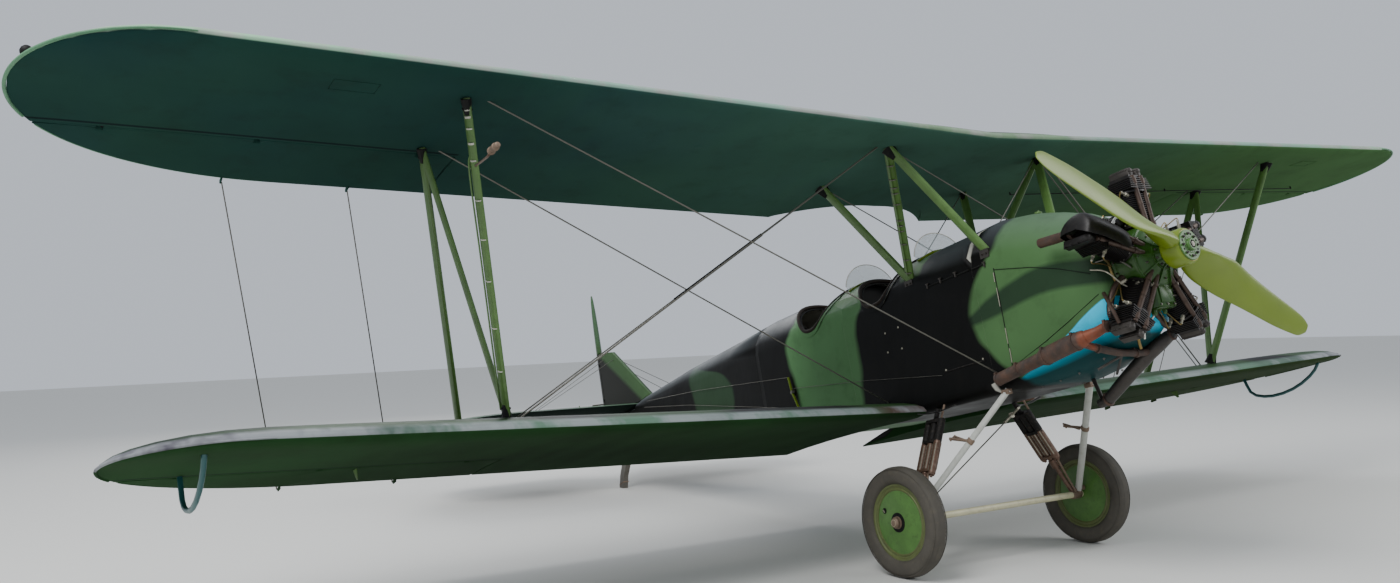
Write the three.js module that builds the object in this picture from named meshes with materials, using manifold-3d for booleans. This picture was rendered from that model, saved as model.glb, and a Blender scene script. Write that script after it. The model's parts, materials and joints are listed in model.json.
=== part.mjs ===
// Two-seat training biplane with an open radial engine, standing on its wheels and tail skid.
// Millimetres, +Z up, nose towards -Y, the aeroplane's left side towards +X.
// Everything is drawn level, from the propeller hub's centre with +Y aft, then tilted tail down.
import * as THREE from "three";
import Module from "manifold-3d";
import { mergeVertices } from "three/addons/utils/BufferGeometryUtils.js";

const wasm = await Module();
wasm.setup();

// Stance and fits
const GROUND_ANGLE = THREE.MathUtils.degToRad(12.5);
const GAP = 0.35; // between pieces that touch
const RUNNING = 6; // between pieces that move past each other

// Wings
const CHORD = 1650;
const THICKNESS = 0.088; // of the chord
const CAMBER = 0.04; // of the chord, highest at CAMBER_AT
const CAMBER_AT = 0.4;
const DIHEDRAL = 0.038; // rise for each unit of span
const UPPER = { lead: 1186, z: 1130, slope: 0.0388, root: 760, tip: 5700 };
const LOWER = { lead: 1955, z: -585, slope: 0.028, root: 392.4, tip: 5325 };
const CUT_OUT_HALF = 758; // notch in the upper trailing edge
const CUT_OUT_FLAT = 210;
const CUT_OUT_DEPTH = 360;
const TIP_FRONT = { span: 710, chord: 710 }; // quarter ellipses of the wing tip
const TIP_REAR = { span: 1310, chord: 940 };

// Ailerons
const AILERON_HINGE = 1114; // behind the leading edge
const AILERON_INNER = { upper: 3400, lower: 3010 };
const AILERON_OUTER = { upper: 5640, lower: 5270 };
const AILERON_NOSE = 50; // radius about the hinge
const HINGE_PIN = 6; // radius
const HINGE_SLOT = 36;
const HINGE_PLATE = 24;

// Struts, each as [half span, aft, up]
const CABANE_FRONT_TOP = [715, 1497];
const CABANE_REAR_TOP = [705, 2250];
const CABANE_FRONT_FOOT = [352, 1179, 322];
const CABANE_MID_FOOT = [352, 1905, 322];
const PLANE_FRONT_TOP = [3632, 1493];
const PLANE_REAR_TOP = [3636, 2204];
const PLANE_FRONT_FOOT = [3288, 2257];
const PLANE_REAR_FOOT = [3300, 2970];

// Propeller and engine
const PROP_RADIUS = 1163;
const PROP_ANGLE = THREE.MathUtils.degToRad(-27.3); // the blade that points left and down
const PROP_PLANE = 75; // of the blades' axis, aft
const PROP_BOSS = { radius: 108, depth: 128 };
const CYLINDER_PLANE = 312;
const CRANKCASE_RADIUS = 200;
const CYLINDER_TOP = 556;
const CYLINDERS = 5;
const HEAD_REACH = 100; // aft of the cylinder plane

// Undercarriage
const AXLE = { y: 1858, z: -1270, radius: 25 };
const WHEEL = { x: 870, radius: 350, width: 120, rim: 236, sides: 30 };
const FRONT_LEG_TOP = [385, 1211, -575];
const REAR_LEG_TOP = [366, 1876, -580];
const LEG_FOOT_X = 792;

// Tail
const FIN_AXIS = 7200; // rudder hinge, aft of the hub
const TAILPLANE = { lead: 6400, z: 300, thick: 60, half: 2050, hinge: 7130, trail: 7830 };
const STERN = 7160;
const RUDDER_REST = THREE.MathUtils.degToRad(-28); // parked with the trailing edge to the left

const FINISHES = {
  // slot: [colour, roughness, metalness]
  camouflage: [0x3c5a38, 0.6, 0],
  wing_green: [0x1f4440, 0.6, 0],
  strut_green: [0x4a6b35, 0.5, 0],
  teal: [0x3f7f80, 0.5, 0],
  propeller_green: [0x8fa551, 0.4, 0],
  engine_green: [0x35521f, 0.4, 0.2],
  engine_black: [0x231f1e, 0.6, 0.6],
  rusty_pipe: [0x5a3a2c, 0.8, 0.5],
  grey_paint: [0xb4b3a4, 0.5, 0],
  tyre: [0x3a3634, 0.85, 0],
  steel: [0x7d7a74, 0.4, 0.9],
  shock_black: [0x1d1b1a, 0.8, 0],
  glass: [0xdde6e6, 0.1, 0],
  leather: [0x3b2c22, 0.7, 0],
  dark: [0x191918, 0.7, 0],
};

const materials = {};
for (const [slot, [color, roughness, metalness]] of Object.entries(FINISHES)) {
  materials[slot] = new THREE.MeshStandardMaterial({ color, roughness, metalness });
}

// Solids and booleans
function bare(geometry) {
  const copy = geometry.clone();
  for (const name of Object.keys(copy.attributes)) {
    if (name !== "position") copy.deleteAttribute(name);
  }
  return mergeVertices(copy, 1e-3);
}

function toSolid(geometry) {
  const merged = bare(geometry);
  return new wasm.Manifold(new wasm.Mesh({
    numProp: 3,
    vertProperties: merged.attributes.position.array,
    triVerts: new Uint32Array(merged.index.array),
  }));
}

function toGeometry(solid) {
  const mesh = solid.getMesh();
  const geometry = new THREE.BufferGeometry();
  geometry.setAttribute("position", new THREE.BufferAttribute(new Float32Array(mesh.vertProperties), 3));
  geometry.setIndex(new THREE.BufferAttribute(new Uint32Array(mesh.triVerts), 1));
  return geometry;
}

function join(...geometries) {
  return toGeometry(geometries.map(toSolid).reduce((sum, solid) => sum.add(solid)));
}

function cut(geometry, ...tools) {
  return toGeometry(tools.map(toSolid).reduce((rest, tool) => rest.subtract(tool), toSolid(geometry)));
}

function common(geometry, tool) {
  return toGeometry(toSolid(geometry).intersect(toSolid(tool)));
}

// Trims a piece where it runs into its neighbours, leaving the gap towards the given side
function seat(piece, neighbours, towards) {
  const shift = new THREE.Vector3(...towards).setLength(GAP);
  const moved = neighbours.map((neighbour) => neighbour.clone().translate(shift.x, shift.y, shift.z));
  return cut(piece, ...neighbours, ...moved);
}

function mirror(geometry) {
  const copy = geometry.index ? geometry.toNonIndexed() : geometry.clone();
  const position = copy.attributes.position;
  const flipped = new Float32Array(position.array.length);
  for (let i = 0; i < position.count; i += 3) {
    [0, 2, 1].forEach((from, to) => {
      flipped[3 * (i + to)] = -position.getX(i + from);
      flipped[3 * (i + to) + 1] = position.getY(i + from);
      flipped[3 * (i + to) + 2] = position.getZ(i + from);
    });
  }
  const result = new THREE.BufferGeometry();
  result.setAttribute("position", new THREE.BufferAttribute(flipped, 3));
  return result;
}

// A closed loft through rings of the same count; each ring's point i faces point n - i,
// and the two halves are divided into mirrored triangles
function loft(rings) {
  const count = rings[0].length;
  const index = [];
  for (let r = 0; r + 1 < rings.length; r++) {
    for (let i = 0; i < count; i++) {
      const a = r * count + i;
      const b = r * count + ((i + 1) % count);
      if (i < count / 2) index.push(a, b, b + count, a, b + count, a + count);
      else index.push(a, b, a + count, b, b + count, a + count);
    }
  }
  const caps = [];
  for (let i = 0; i < Math.ceil(count / 2); i++) {
    const [a, b, c, d] = [i, i + 1, count - i - 1, (count - i) % count];
    if (a === d) caps.push([a, b, c]);
    else if (b === c) caps.push([a, b, d]);
    else if (b < c) caps.push([a, b, c], [a, c, d]);
  }
  const last = (rings.length - 1) * count;
  for (const [a, b, c] of caps) {
    index.push(a, c, b, last + a, last + b, last + c);
  }
  const geometry = new THREE.BufferGeometry();
  geometry.setAttribute("position", new THREE.Float32BufferAttribute(rings.flat(2), 3));
  geometry.setIndex(index);
  return facingOut(geometry);
}

function signedVolume(geometry) {
  const [a, b, c] = [new THREE.Vector3(), new THREE.Vector3(), new THREE.Vector3()];
  const { position } = geometry.attributes;
  let sum = 0;
  for (let i = 0; i < geometry.index.count; i += 3) {
    a.fromBufferAttribute(position, geometry.index.getX(i));
    b.fromBufferAttribute(position, geometry.index.getX(i + 1));
    c.fromBufferAttribute(position, geometry.index.getX(i + 2));
    sum += a.dot(b.cross(c));
  }
  return sum;
}

// The same surface with its faces pointing out
function facingOut(geometry) {
  if (signedVolume(geometry) > 0) return geometry;
  const turned = [];
  for (let i = 0; i < geometry.index.count; i += 3) {
    turned.push(geometry.index.getX(i), geometry.index.getX(i + 2), geometry.index.getX(i + 1));
  }
  geometry.setIndex(turned);
  return geometry;
}

// Simple shapes in the level frame
function box(low, high) {
  const size = high.map((value, axis) => value - low[axis]);
  const geometry = new THREE.BoxGeometry(...size);
  return geometry.translate(...low.map((value, axis) => value + size[axis] / 2));
}

// An elliptical bar from one point to another, its long axis along the flight direction
function bar(from, to, chord, thick = chord, sides = 12) {
  const start = new THREE.Vector3(...from);
  const along = new THREE.Vector3(...to).sub(start);
  const length = along.length();
  along.normalize();
  const flight = new THREE.Vector3(0, 1, 0);
  if (Math.abs(along.y) > 0.99) flight.set(0, 0, 1);
  const side = flight.cross(along).normalize();
  const geometry = new THREE.CylinderGeometry(1, 1, 1, sides);
  geometry.translate(0, 0.5, 0).scale(thick / 2, length, chord / 2);
  geometry.applyMatrix4(new THREE.Matrix4().makeBasis(side, along, side.clone().cross(along)));
  return geometry.translate(start.x, start.y, start.z);
}

// A round pipe through points, each as [x, y, z, radius]
function pipe(points, sides = 10) {
  const places = points.map((point) => new THREE.Vector3(...point.slice(0, 3)));
  const rings = points.map((point, i) => {
    const ahead = places[Math.min(i + 1, places.length - 1)];
    const behind = places[Math.max(i - 1, 0)];
    const along = ahead.clone().sub(behind).normalize();
    const side = new THREE.Vector3(1, 0.02, 0.01).cross(along).normalize();
    const up = along.clone().cross(side);
    return ringOf(sides, (angle) => places[i].clone()
      .addScaledVector(side, point[3] * Math.cos(angle))
      .addScaledVector(up, point[3] * Math.sin(angle)).toArray());
  });
  return loft(rings);
}

function ringOf(count, place) {
  return Array.from({ length: count }, (_, i) => place((2 * Math.PI * i) / count));
}

// A turned shape about an axis along X or Y, from [radius, place] pairs
function turned(profile, axis, sides = 24) {
  const points = profile.map(([radius, place]) => new THREE.Vector2(radius, place));
  const geometry = facingOut(bare(new THREE.LatheGeometry(points, sides)));
  if (axis === "x") return geometry.rotateZ(-Math.PI / 2);
  return axis === "y" ? geometry : geometry.rotateX(Math.PI / 2);
}

// A flat outline in the side view (aft, up), as thick as given about the middle plane
function sidePlate(outline, thick) {
  const shape = new THREE.Shape(outline.map(([y, z]) => new THREE.Vector2(y, z)));
  const geometry = new THREE.ExtrudeGeometry(shape, { depth: thick, bevelEnabled: false });
  return geometry.applyMatrix4(new THREE.Matrix4().set(
    0, 0, 1, -thick / 2,
    1, 0, 0, 0,
    0, 1, 0, 0,
    0, 0, 0, 1,
  ));
}

// A flat outline in plan (across, aft), from one height to another
function planPlate(outline, low, high) {
  const shape = new THREE.Shape(outline.map(([x, y]) => new THREE.Vector2(x, y)));
  const geometry = new THREE.ExtrudeGeometry(shape, { depth: high - low, bevelEnabled: false });
  return geometry.translate(0, 0, low);
}

// Wing sections
const SECTION_STEPS = 9;

function sectionHeights(part) {
  const half = 5 * THICKNESS * (0.2969 * Math.sqrt(part) - 0.126 * part - 0.3516 * part ** 2
    + 0.2843 * part ** 3 - 0.1015 * part ** 4) + 0.0016 * part;
  const rise = part < CAMBER_AT
    ? (CAMBER / CAMBER_AT ** 2) * (2 * CAMBER_AT * part - part ** 2)
    : (CAMBER / (1 - CAMBER_AT) ** 2) * (1 - 2 * CAMBER_AT + 2 * CAMBER_AT * part - part ** 2);
  return [rise + half, rise - half];
}

function sectionRing(x, lead, trail, z, scale) {
  const over = [];
  const under = [];
  for (let i = 1; i <= SECTION_STEPS; i++) {
    const part = 1 - Math.cos(((i / SECTION_STEPS) * Math.PI) / 2);
    const y = lead + part * (trail - lead);
    const [top, bottom] = sectionHeights(part);
    over.push([x, y, z(y) + top * scale]);
    under.unshift([x, y, z(y) + bottom * scale]);
  }
  return [[x, lead, z(lead)], ...over, ...under];
}

function wingPlaneZ(wing, x) {
  return (y) => wing.z + DIHEDRAL * Math.abs(x) - wing.slope * (y - wing.lead);
}

// Height of the wing's skin at a place in plan, over the part with the full chord
function wingSkin(wing, x, y, side) {
  const heights = sectionHeights((y - wing.lead) / CHORD);
  return wingPlaneZ(wing, x)(y) + CHORD * heights[side === "over" ? 0 : 1];
}

function ellipseDrop(x, tip, { span, chord }) {
  const part = Math.max(0, (x - (tip - span)) / (span + 12));
  return chord * (1 - Math.sqrt(1 - part ** 2));
}

function wingPanel(wing) {
  const tipSteps = [1300, 1000, 710, 520, 360, 230, 120, 50, 0];
  const stations = [wing.root, ...tipSteps.map((step) => wing.tip - step)];
  return loft(stations.map((x) => {
    const lead = wing.lead + ellipseDrop(x, wing.tip, TIP_FRONT);
    const trail = wing.lead + CHORD - ellipseDrop(x, wing.tip, TIP_REAR);
    return sectionRing(x, lead, trail, wingPlaneZ(wing, x), trail - lead);
  }));
}

function centreSection() {
  const half = [0, 210, 400, 560, 680, CUT_OUT_HALF];
  const stations = [-UPPER.root, ...half.slice(1).reverse().map((x) => -x), ...half, UPPER.root];
  return loft(stations.map((x) => {
    const inward = Math.max(0, Math.abs(x) - CUT_OUT_FLAT) / (CUT_OUT_HALF - CUT_OUT_FLAT);
    const notch = Math.abs(x) < UPPER.root ? CUT_OUT_DEPTH * (1 - Math.min(1, inward) ** 2.6) : 0;
    return sectionRing(x, UPPER.lead, UPPER.lead + CHORD - notch, wingPlaneZ(UPPER, x), CHORD);
  }));
}

// A hinge along the span: axis point and direction, with the nose and its cove about it
function spanHinge(wing) {
  const y = wing.lead + AILERON_HINGE;
  const heights = sectionHeights(AILERON_HINGE / CHORD);
  const z = wing.z - wing.slope * AILERON_HINGE + (CHORD * (heights[0] + heights[1])) / 2;
  return { y, z, at: (x) => [x, y, z + DIHEDRAL * x] };
}

function hingeStations(inner, outer) {
  return [0.1, 0.5, 0.84].map((part) => inner + part * (outer - inner));
}

function splitAileron(panel, wing, inner, outer) {
  const hinge = spanHinge(wing);
  const sideGap = 15;
  const rod = (from, to, radius) => bar(hinge.at(from), hinge.at(to), 2 * radius, 2 * radius, 14);
  const behind = (from, to) => box([from, hinge.y, wing.z - 400], [to, hinge.y + 900, wing.z + 700]);
  const past = wing.tip + 60;
  const opening = join(rod(inner, past, AILERON_NOSE + RUNNING), behind(inner, past));
  const region = join(rod(inner + sideGap, outer, AILERON_NOSE), behind(inner + sideGap, outer));
  let fixed = cut(panel, opening);
  let moving = common(panel, region);
  for (const x of hingeStations(inner, outer)) {
    const [, y, z] = hinge.at(x);
    const reach = AILERON_NOSE + 40;
    const slot = box([x - HINGE_SLOT / 2, y - reach, z - 120], [x + HINGE_SLOT / 2, y + 26, z + 120]);
    const plate = box(
      [x - HINGE_PLATE / 2, y - reach, z - 7],
      [x + HINGE_PLATE / 2, y - HINGE_PIN - GAP, z + 7],
    );
    const pin = bar(hinge.at(x - HINGE_SLOT), hinge.at(x + HINGE_SLOT), 2 * HINGE_PIN, 2 * HINGE_PIN, 8);
    moving = join(cut(moving, slot), pin);
    fixed = join(fixed, plate);
  }
  return { fixed, moving, hinge };
}

// Fuselage sections
const FUSELAGE = [
  // aft, half width, bottom, top of the flat side, top of the decking, corner radius
  [400, 262, -375, -60, 228, 240],
  [432, 318, -432, -40, 285, 262],
  [600, 348, -522, 40, 385, 250],
  [800, 370, -568, 110, 462, 220],
  [1000, 384, -585, 165, 522, 170],
  [1200, 390, -585, 200, 553, 120],
  [1400, 392, -585, 222, 545, 80],
  [2000, 392, -585, 230, 530, 60],
  [2900, 392, -560, 230, 524, 60],
  [3300, 388, -530, 230, 530, 60],
  [3800, 360, -478, 230, 526, 55],
  [4400, 310, -385, 232, 484, 50],
  [5300, 225, -245, 236, 434, 40],
  [6200, 140, -95, 240, 352, 30],
  [6385, 122, -65, 240, 322, 30],
  [6398, 120, -62, 240, 264, 30],
  [STERN, 46, 60, 240, 264, 20],
];
const NOSE_END = 1300;
const MIDDLE_END = 2652; // between the cockpits
const REAR_START = 3850;
const WALL = 20;

function fuselageRow(y) {
  const next = FUSELAGE.findIndex((row) => row[0] >= y);
  if (FUSELAGE[next][0] === y) return FUSELAGE[next];
  const [low, high] = [FUSELAGE[next - 1], FUSELAGE[next]];
  const part = (y - low[0]) / (high[0] - low[0]);
  return low.map((value, column) => value + part * (high[column] - value));
}

function fuselageRing([y, half, bottom, side, top, corner], inset = 0) {
  const wide = half - inset;
  const low = bottom + inset;
  const round = Math.max(8, corner - inset);
  const right = [];
  for (const turn of [0, 22.5, 45, 67.5, 90]) {
    const angle = THREE.MathUtils.degToRad(turn);
    right.push([wide - round + round * Math.sin(angle), y, low + round - round * Math.cos(angle)]);
  }
  for (const turn of [0, 18, 36, 54, 72]) {
    const angle = THREE.MathUtils.degToRad(turn);
    right.push([wide * Math.cos(angle), y, side + (top - inset - side) * Math.sin(angle)]);
  }
  const left = right.map(([x, aft, z]) => [-x, aft, z]).reverse();
  return [[0, y, low], ...right, [0, y, top - inset], ...left];
}

function fuselageBetween(from, to, inset = 0) {
  const rows = FUSELAGE.filter(([y]) => y > from && y < to);
  return loft([fuselageRow(from), ...rows, fuselageRow(to)].map((row) => fuselageRing(row, inset)));
}

// Cockpit openings in plan: middle, half length, half width
const COCKPITS = {
  front: { y: 2280, length: 325, width: 415 },
  rear: { y: 3045, length: 345, width: 405 },
};
const RIM_HEIGHT = 250; // lowest part of the openings' rims

function cockpitCutter({ y, length, width }) {
  const outline = ringOf(28, (angle) => [width * Math.cos(angle), y + length * Math.sin(angle)]);
  return planPlate(outline, RIM_HEIGHT, 800);
}

// A hollow part of the fuselage with its cockpit; the two parts share one long room
function hollowPart(from, to, cockpit) {
  const room = fuselageBetween(NOSE_END + GAP + WALL, REAR_START - GAP - WALL, WALL);
  return cut(fuselageBetween(from, to), room, cockpitCutter(cockpit));
}

function seatShape({ y }) {
  const base = { front: y - 120, back: y + 230, pan: -250, top: 190 };
  const floorAt = (place) => fuselageRow(place)[2] + WALL + GAP;
  const outline = [
    [base.front, base.pan - 40], [base.front, base.pan], [base.back - 40, base.pan - 20],
    [base.back + 20, base.top], [base.back + 50, base.top], [base.back, base.pan - 60],
    [base.back - 60, floorAt(base.back - 60)], [base.back - 120, floorAt(base.back - 120)],
    [base.back - 60, base.pan - 60],
  ];
  return sidePlate(outline, 400);
}

function instrumentPanel(y) {
  const low = -40;
  const slab = fuselageBetween(y, y + 12, WALL + 2 * GAP);
  return cut(slab, box([-500, y - 50, -900], [500, y + 80, low]));
}

// A curved, leaning screen on the decking ahead of a cockpit
const SCREEN = { halfWidth: 250, bulge: 115, rise: 155, lean: 0.566, sheet: 4, turn: 80 };
const SCREENS = { front: 1851, rear: 2624 }; // foremost edges

function windscreen(y, fuselage) {
  const [, , , , deck] = fuselageRow(y);
  const { halfWidth, bulge, rise, lean, sheet, turn } = SCREEN;
  const steps = 12;
  const rings = Array.from({ length: steps + 1 }, (_, i) => {
    const angle = THREE.MathUtils.degToRad(turn * ((2 * i) / steps - 1));
    const top = deck - 60 + (rise + 60) * Math.cos(angle);
    const low = deck - 190;
    const place = (inset, z) => [
      (halfWidth - inset) * Math.sin(angle),
      y + bulge - (bulge - inset) * Math.cos(angle) + (z - deck) * lean,
      z,
    ];
    return [place(0, low), place(0, top), place(sheet, top), place(sheet, low)];
  });
  return seat(loft(rings), fuselage, [0, 0, 1]);
}

// Engine
function crankcase() {
  const front = PROP_PLANE + PROP_BOSS.depth / 2 + GAP;
  const back = FUSELAGE[0][0] - GAP;
  const body = turned([
    [0, front], [62, front], [68, 168], [92, 192], [126, 206], [160, 220], [192, 238],
    [CRANKCASE_RADIUS, 256], [CRANKCASE_RADIUS, 374], [214, 384], [214, back], [0, back],
  ], "y", 20);
  const sump = box([-78, 236, -300], [78, 372, -150]);
  return join(body, sump);
}

function engineCylinder(number, crank) {
  const barrel = [[0, 150], [84, 150], [84, 214], [62, 214]];
  const fins = [240, 285, 330];
  for (const radius of fins) barrel.push([62, radius], [88, radius], [88, radius + 18], [62, radius + 18]);
  barrel.push([62, 384], [96, 384], [98, 470], [84, 492], [0, 492]);
  const body = turned(barrel, "z", 12).translate(0, CYLINDER_PLANE, 0);
  const y = CYLINDER_PLANE;
  const pieces = [
    body,
    box([-74, y - 78, 440], [-22, y + HEAD_REACH, CYLINDER_TOP]),
    box([22, y - 78, 440], [74, y + HEAD_REACH, CYLINDER_TOP]),
    bar([-34, y - 92, 130], [-52, y - 74, 470], 34, 34, 6),
    bar([34, y - 92, 130], [52, y - 74, 470], 34, 34, 6),
  ];
  const turn = (2 * Math.PI * number) / CYLINDERS;
  return seat(join(...pieces).rotateY(turn), [crank], [Math.sin(turn), -0.5, Math.cos(turn)]);
}

// Pipes behind the engine: each point as [x, y, z, radius]
const HEAD_BACK = CYLINDER_PLANE + HEAD_REACH + GAP;
const COLLECTOR = [
  [-332, HEAD_BACK, -364, 28], [-332, 430, -364, 28], [-340, 450, -370, 30], [-372, 470, -386, 33],
  [-412, 540, -404, 42], [-428, 640, -420, 46], [-428, 800, -443, 46], [-428, 860, -452, 34],
  [-430, 1060, -480, 34], [-430, 1236, -505, 34],
];
const CROSS_PIPE = [
  [-405, 565, -430, 22], [-300, 545, -470, 22], [-150, 528, -505, 22], [0, 522, -514, 22],
  [110, 522, -514, 22],
];
const UPPER_STUB = [
  [-449, HEAD_BACK, 196, 28], [-449, 430, 196, 28], [-452, 460, 195, 29], [-450, 540, 200, 30],
  [-448, 668, 209, 30],
];
const TRUNK = [
  [243, HEAD_BACK, -428, 30], [243, 426, -428, 32], [234, 446, -438, 38], [190, 474, -468, 44],
  [130, 530, -520, 46], [118, 700, -622, 44], [122, 890, -735, 38], [124, 960, -748, 28],
];
const TRUNK_BRACE = [[124, 930, -740, 13], [136, 984, -560, 13]];

// Propeller, about its own axis at the origin
const BLADE = [
  // distance out, chord, thickness, blade angle, shift of the section's middle towards its leading edge
  [60, 130, 104, 64, 0], [120, 176, 96, 61, -4], [200, 205, 78, 53, -8], [300, 220, 60, 38, -4],
  [420, 236, 46, 27, 5], [560, 216, 35, 20, 6], [720, 194, 27, 17, 6], [880, 176, 21, 15.5, 8],
  [1020, 150, 16, 15.5, 14], [1110, 118, 12, 16, 18], [PROP_RADIUS, 52, 8, 17, 28],
];

function blade() {
  return loft(BLADE.map(([out, chord, thick, degrees, shift]) => {
    const angle = THREE.MathUtils.degToRad(degrees);
    return ringOf(10, (turn) => {
      const across = (chord / 2) * Math.cos(turn) + shift;
      const through = (thick / 2) * Math.sin(turn);
      return [
        out,
        -across * Math.sin(angle) - through * Math.cos(angle),
        across * Math.cos(angle) - through * Math.sin(angle),
      ];
    });
  }));
}

function propeller() {
  const half = PROP_BOSS.depth / 2;
  const boss = turned([
    [0, -half - 30], [38, -half - 30], [42, -half - 8], [90, -half - 8], [90, -half], [92, -half],
    [PROP_BOSS.radius, -half + 16], [PROP_BOSS.radius, half - 16], [92, half], [0, half],
  ], "y", 20);
  const one = blade();
  return join(boss, one, one.clone().rotateY(Math.PI)).rotateY(-PROP_ANGLE).translate(0, PROP_PLANE, 0);
}

// Wheels, drawn about the origin with the axle along X and the outer side towards +X
function tyre() {
  const half = WHEEL.width / 2;
  const bulge = [[WHEEL.rim, -34], [258, -50], [292, -half], [322, -54], [342, -34], [WHEEL.radius, -12]];
  const outer = bulge.map(([radius, x]) => [radius, -x]).reverse();
  const profile = [...bulge, ...outer, bulge[0]];
  return turned(profile, "x", WHEEL.sides);
}

function wheelDisc() {
  const bore = AXLE.radius + 0.7;
  const rim = WHEEL.rim - GAP;
  return turned([
    [bore, -46], [44, -46], [rim - 16, -24], [rim, -33], [rim, 33], [rim - 16, 24], [46, 44], [44, 52],
    [bore, 52], [bore, -46],
  ], "x", WHEEL.sides);
}

function axle() {
  const end = WHEEL.x + 52 + 4;
  const side = [
    [AXLE.radius, 0], [AXLE.radius, end], [31, end], [31, end + 14], [17, end + 26], [0, end + 26],
  ];
  const profile = [...side.map(([radius, x]) => [radius, -x]).reverse(), ...side.slice(1)];
  return turned(profile, "x", 20).translate(0, AXLE.y, AXLE.z);
}

function frontLeg(fuselage, across) {
  const foot = [LEG_FOOT_X, AXLE.y, AXLE.z];
  const leg = bar([FRONT_LEG_TOP[0] - 12, FRONT_LEG_TOP[1] - 20, FRONT_LEG_TOP[2] + 22], foot, 72, 36);
  return seat(seat(leg, fuselage, [0.4, 0, -1]), [across], [-0.3, -0.5, 1]);
}

function shockLeg(fuselage, across) {
  const top = new THREE.Vector3(...REAR_LEG_TOP);
  const foot = new THREE.Vector3(LEG_FOOT_X - 40, AXLE.y, AXLE.z);
  const along = (part, shiftY) => {
    const place = top.clone().lerp(foot, part);
    return [place.x, place.y + shiftY, place.z];
  };
  const pieces = [bar(along(-0.06, 0), along(1, 0), 38, 38, 8)];
  for (const shift of [-58, 0, 58]) pieces.push(bar(along(0.1, shift), along(0.62, shift), 52, 52, 8));
  for (const part of [0.1, 0.55]) pieces.push(bar(along(part, 0), along(part + 0.07, 0), 168, 60, 8));
  const leg = join(...pieces);
  return seat(seat(leg, fuselage, [0.4, 0, -1]), [across], [-0.6, 0, 1]);
}

// Height of the ground, in the level frame, below a place along the fuselage
function groundAt(y) {
  const [rise, level] = [Math.sin(GROUND_ANGLE), Math.cos(GROUND_ANGLE)];
  return AXLE.z + ((y - AXLE.y) * rise - WHEEL.radius) / level;
}

function tailSkid(fuselage) {
  const skid = sidePlate([
    [6640, -20], [6700, -60], [6860, -200], [6990, -370], [7030, groundAt(7030)], [7110, groundAt(7110)],
    [7060, -340], [6930, -150], [6800, 40], [6700, 60],
  ], 56);
  return seat(skid, fuselage, [0, 0, -1]);
}

// Stands on the decking, and on the highest line of the tailplane
function fin(fuselage) {
  const low = TAILPLANE.z + TAILPLANE.thick / 2 + GAP;
  const plate = sidePlate([
    [6180, 300], [6235, 372], [6905, 950], [7166, 984], [7166, low], [6384, low], [6384, 250], [6300, 250],
  ], 56);
  return seat(seat(plate, fuselage, [0, 0.6, 1]), fuselage, [0, 0, 1]);
}

// Rudder sections: height, nose and trailing edge from the hinge, thickness
const RUDDER = [
  [95, -31, 330, 50], [200, -31, 560, 60], [420, -31, 760, 62], [700, -31, 850, 62], [988, -31, 862, 62],
  [996, -92, 862, 62], [1250, -88, 790, 56], [1450, -62, 640, 46], [1590, -14, 450, 32], [1655, 50, 290, 20],
  [1675, 100, 210, 12],
];

function rudderShape() {
  return loft(RUDDER.map(([z, nose, tail, thick]) => {
    const half = thick / 2;
    const wide = [[0.02, 0.55], [0.07, 0.9], [0.16, 1], [0.5, 0.72], [0.98, 0.12]];
    const place = (part, share) => [share * half, nose + part * (tail - nose), z];
    const right = wide.map(([part, share]) => place(part, share));
    const left = wide.map(([part, share]) => place(part, -share)).reverse();
    return [place(0, 0), ...right, place(1, 0), ...left];
  }));
}

const FIN_HINGES = [480, 860];

function rudder() {
  const pin = (z) => bar([0, 0, z - 30], [0, 0, z + 30], 12, 12, 8);
  const slot = (z) => box([-60, -60, z - 18], [60, 20, z + 18]);
  return join(cut(rudderShape(), ...FIN_HINGES.map(slot)), ...FIN_HINGES.map(pin));
}

function finWithHinges(fuselage) {
  const plate = (z) => box([-7, 7100, z - 12], [7, FIN_AXIS - HINGE_PIN - GAP, z + 12]);
  return join(fin(fuselage), ...FIN_HINGES.map(plate));
}

// Tailplane with its elevators, as one outline that is then parted at the hinge
const TAIL_NOSE = 27;
const TAIL_HINGES = [500, 1180, 1760];

function tailOutline() {
  const { lead, z, thick, half, trail } = TAILPLANE;
  const steps = [1100, 750, 480, 280, 140, 50, 0].map((step) => half - step);
  const stations = [...steps.slice().reverse().map((x) => -x), 0, ...steps];
  return loft(stations.map((x) => {
    const reach = Math.abs(x);
    const front = lead + ellipseDrop(reach, half, { span: 760, chord: 560 });
    const back = trail - ellipseDrop(reach, half, { span: 620, chord: 640 });
    const part = Math.min(1, (back - front) / (trail - lead) + 0.25);
    const shares = [[0.03, 0.55], [0.1, 0.85], [0.25, 1], [0.5, 0.94], [0.75, 0.55], [0.99, 0.12]];
    const place = (along, share) => [x, front + along * (back - front), z + (share * part * thick) / 2];
    return [
      place(0, 0), ...shares.map(([along, share]) => place(along, share)), place(1, 0),
      ...shares.map(([along, share]) => place(along, -share)).reverse(),
    ];
  }));
}

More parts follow.
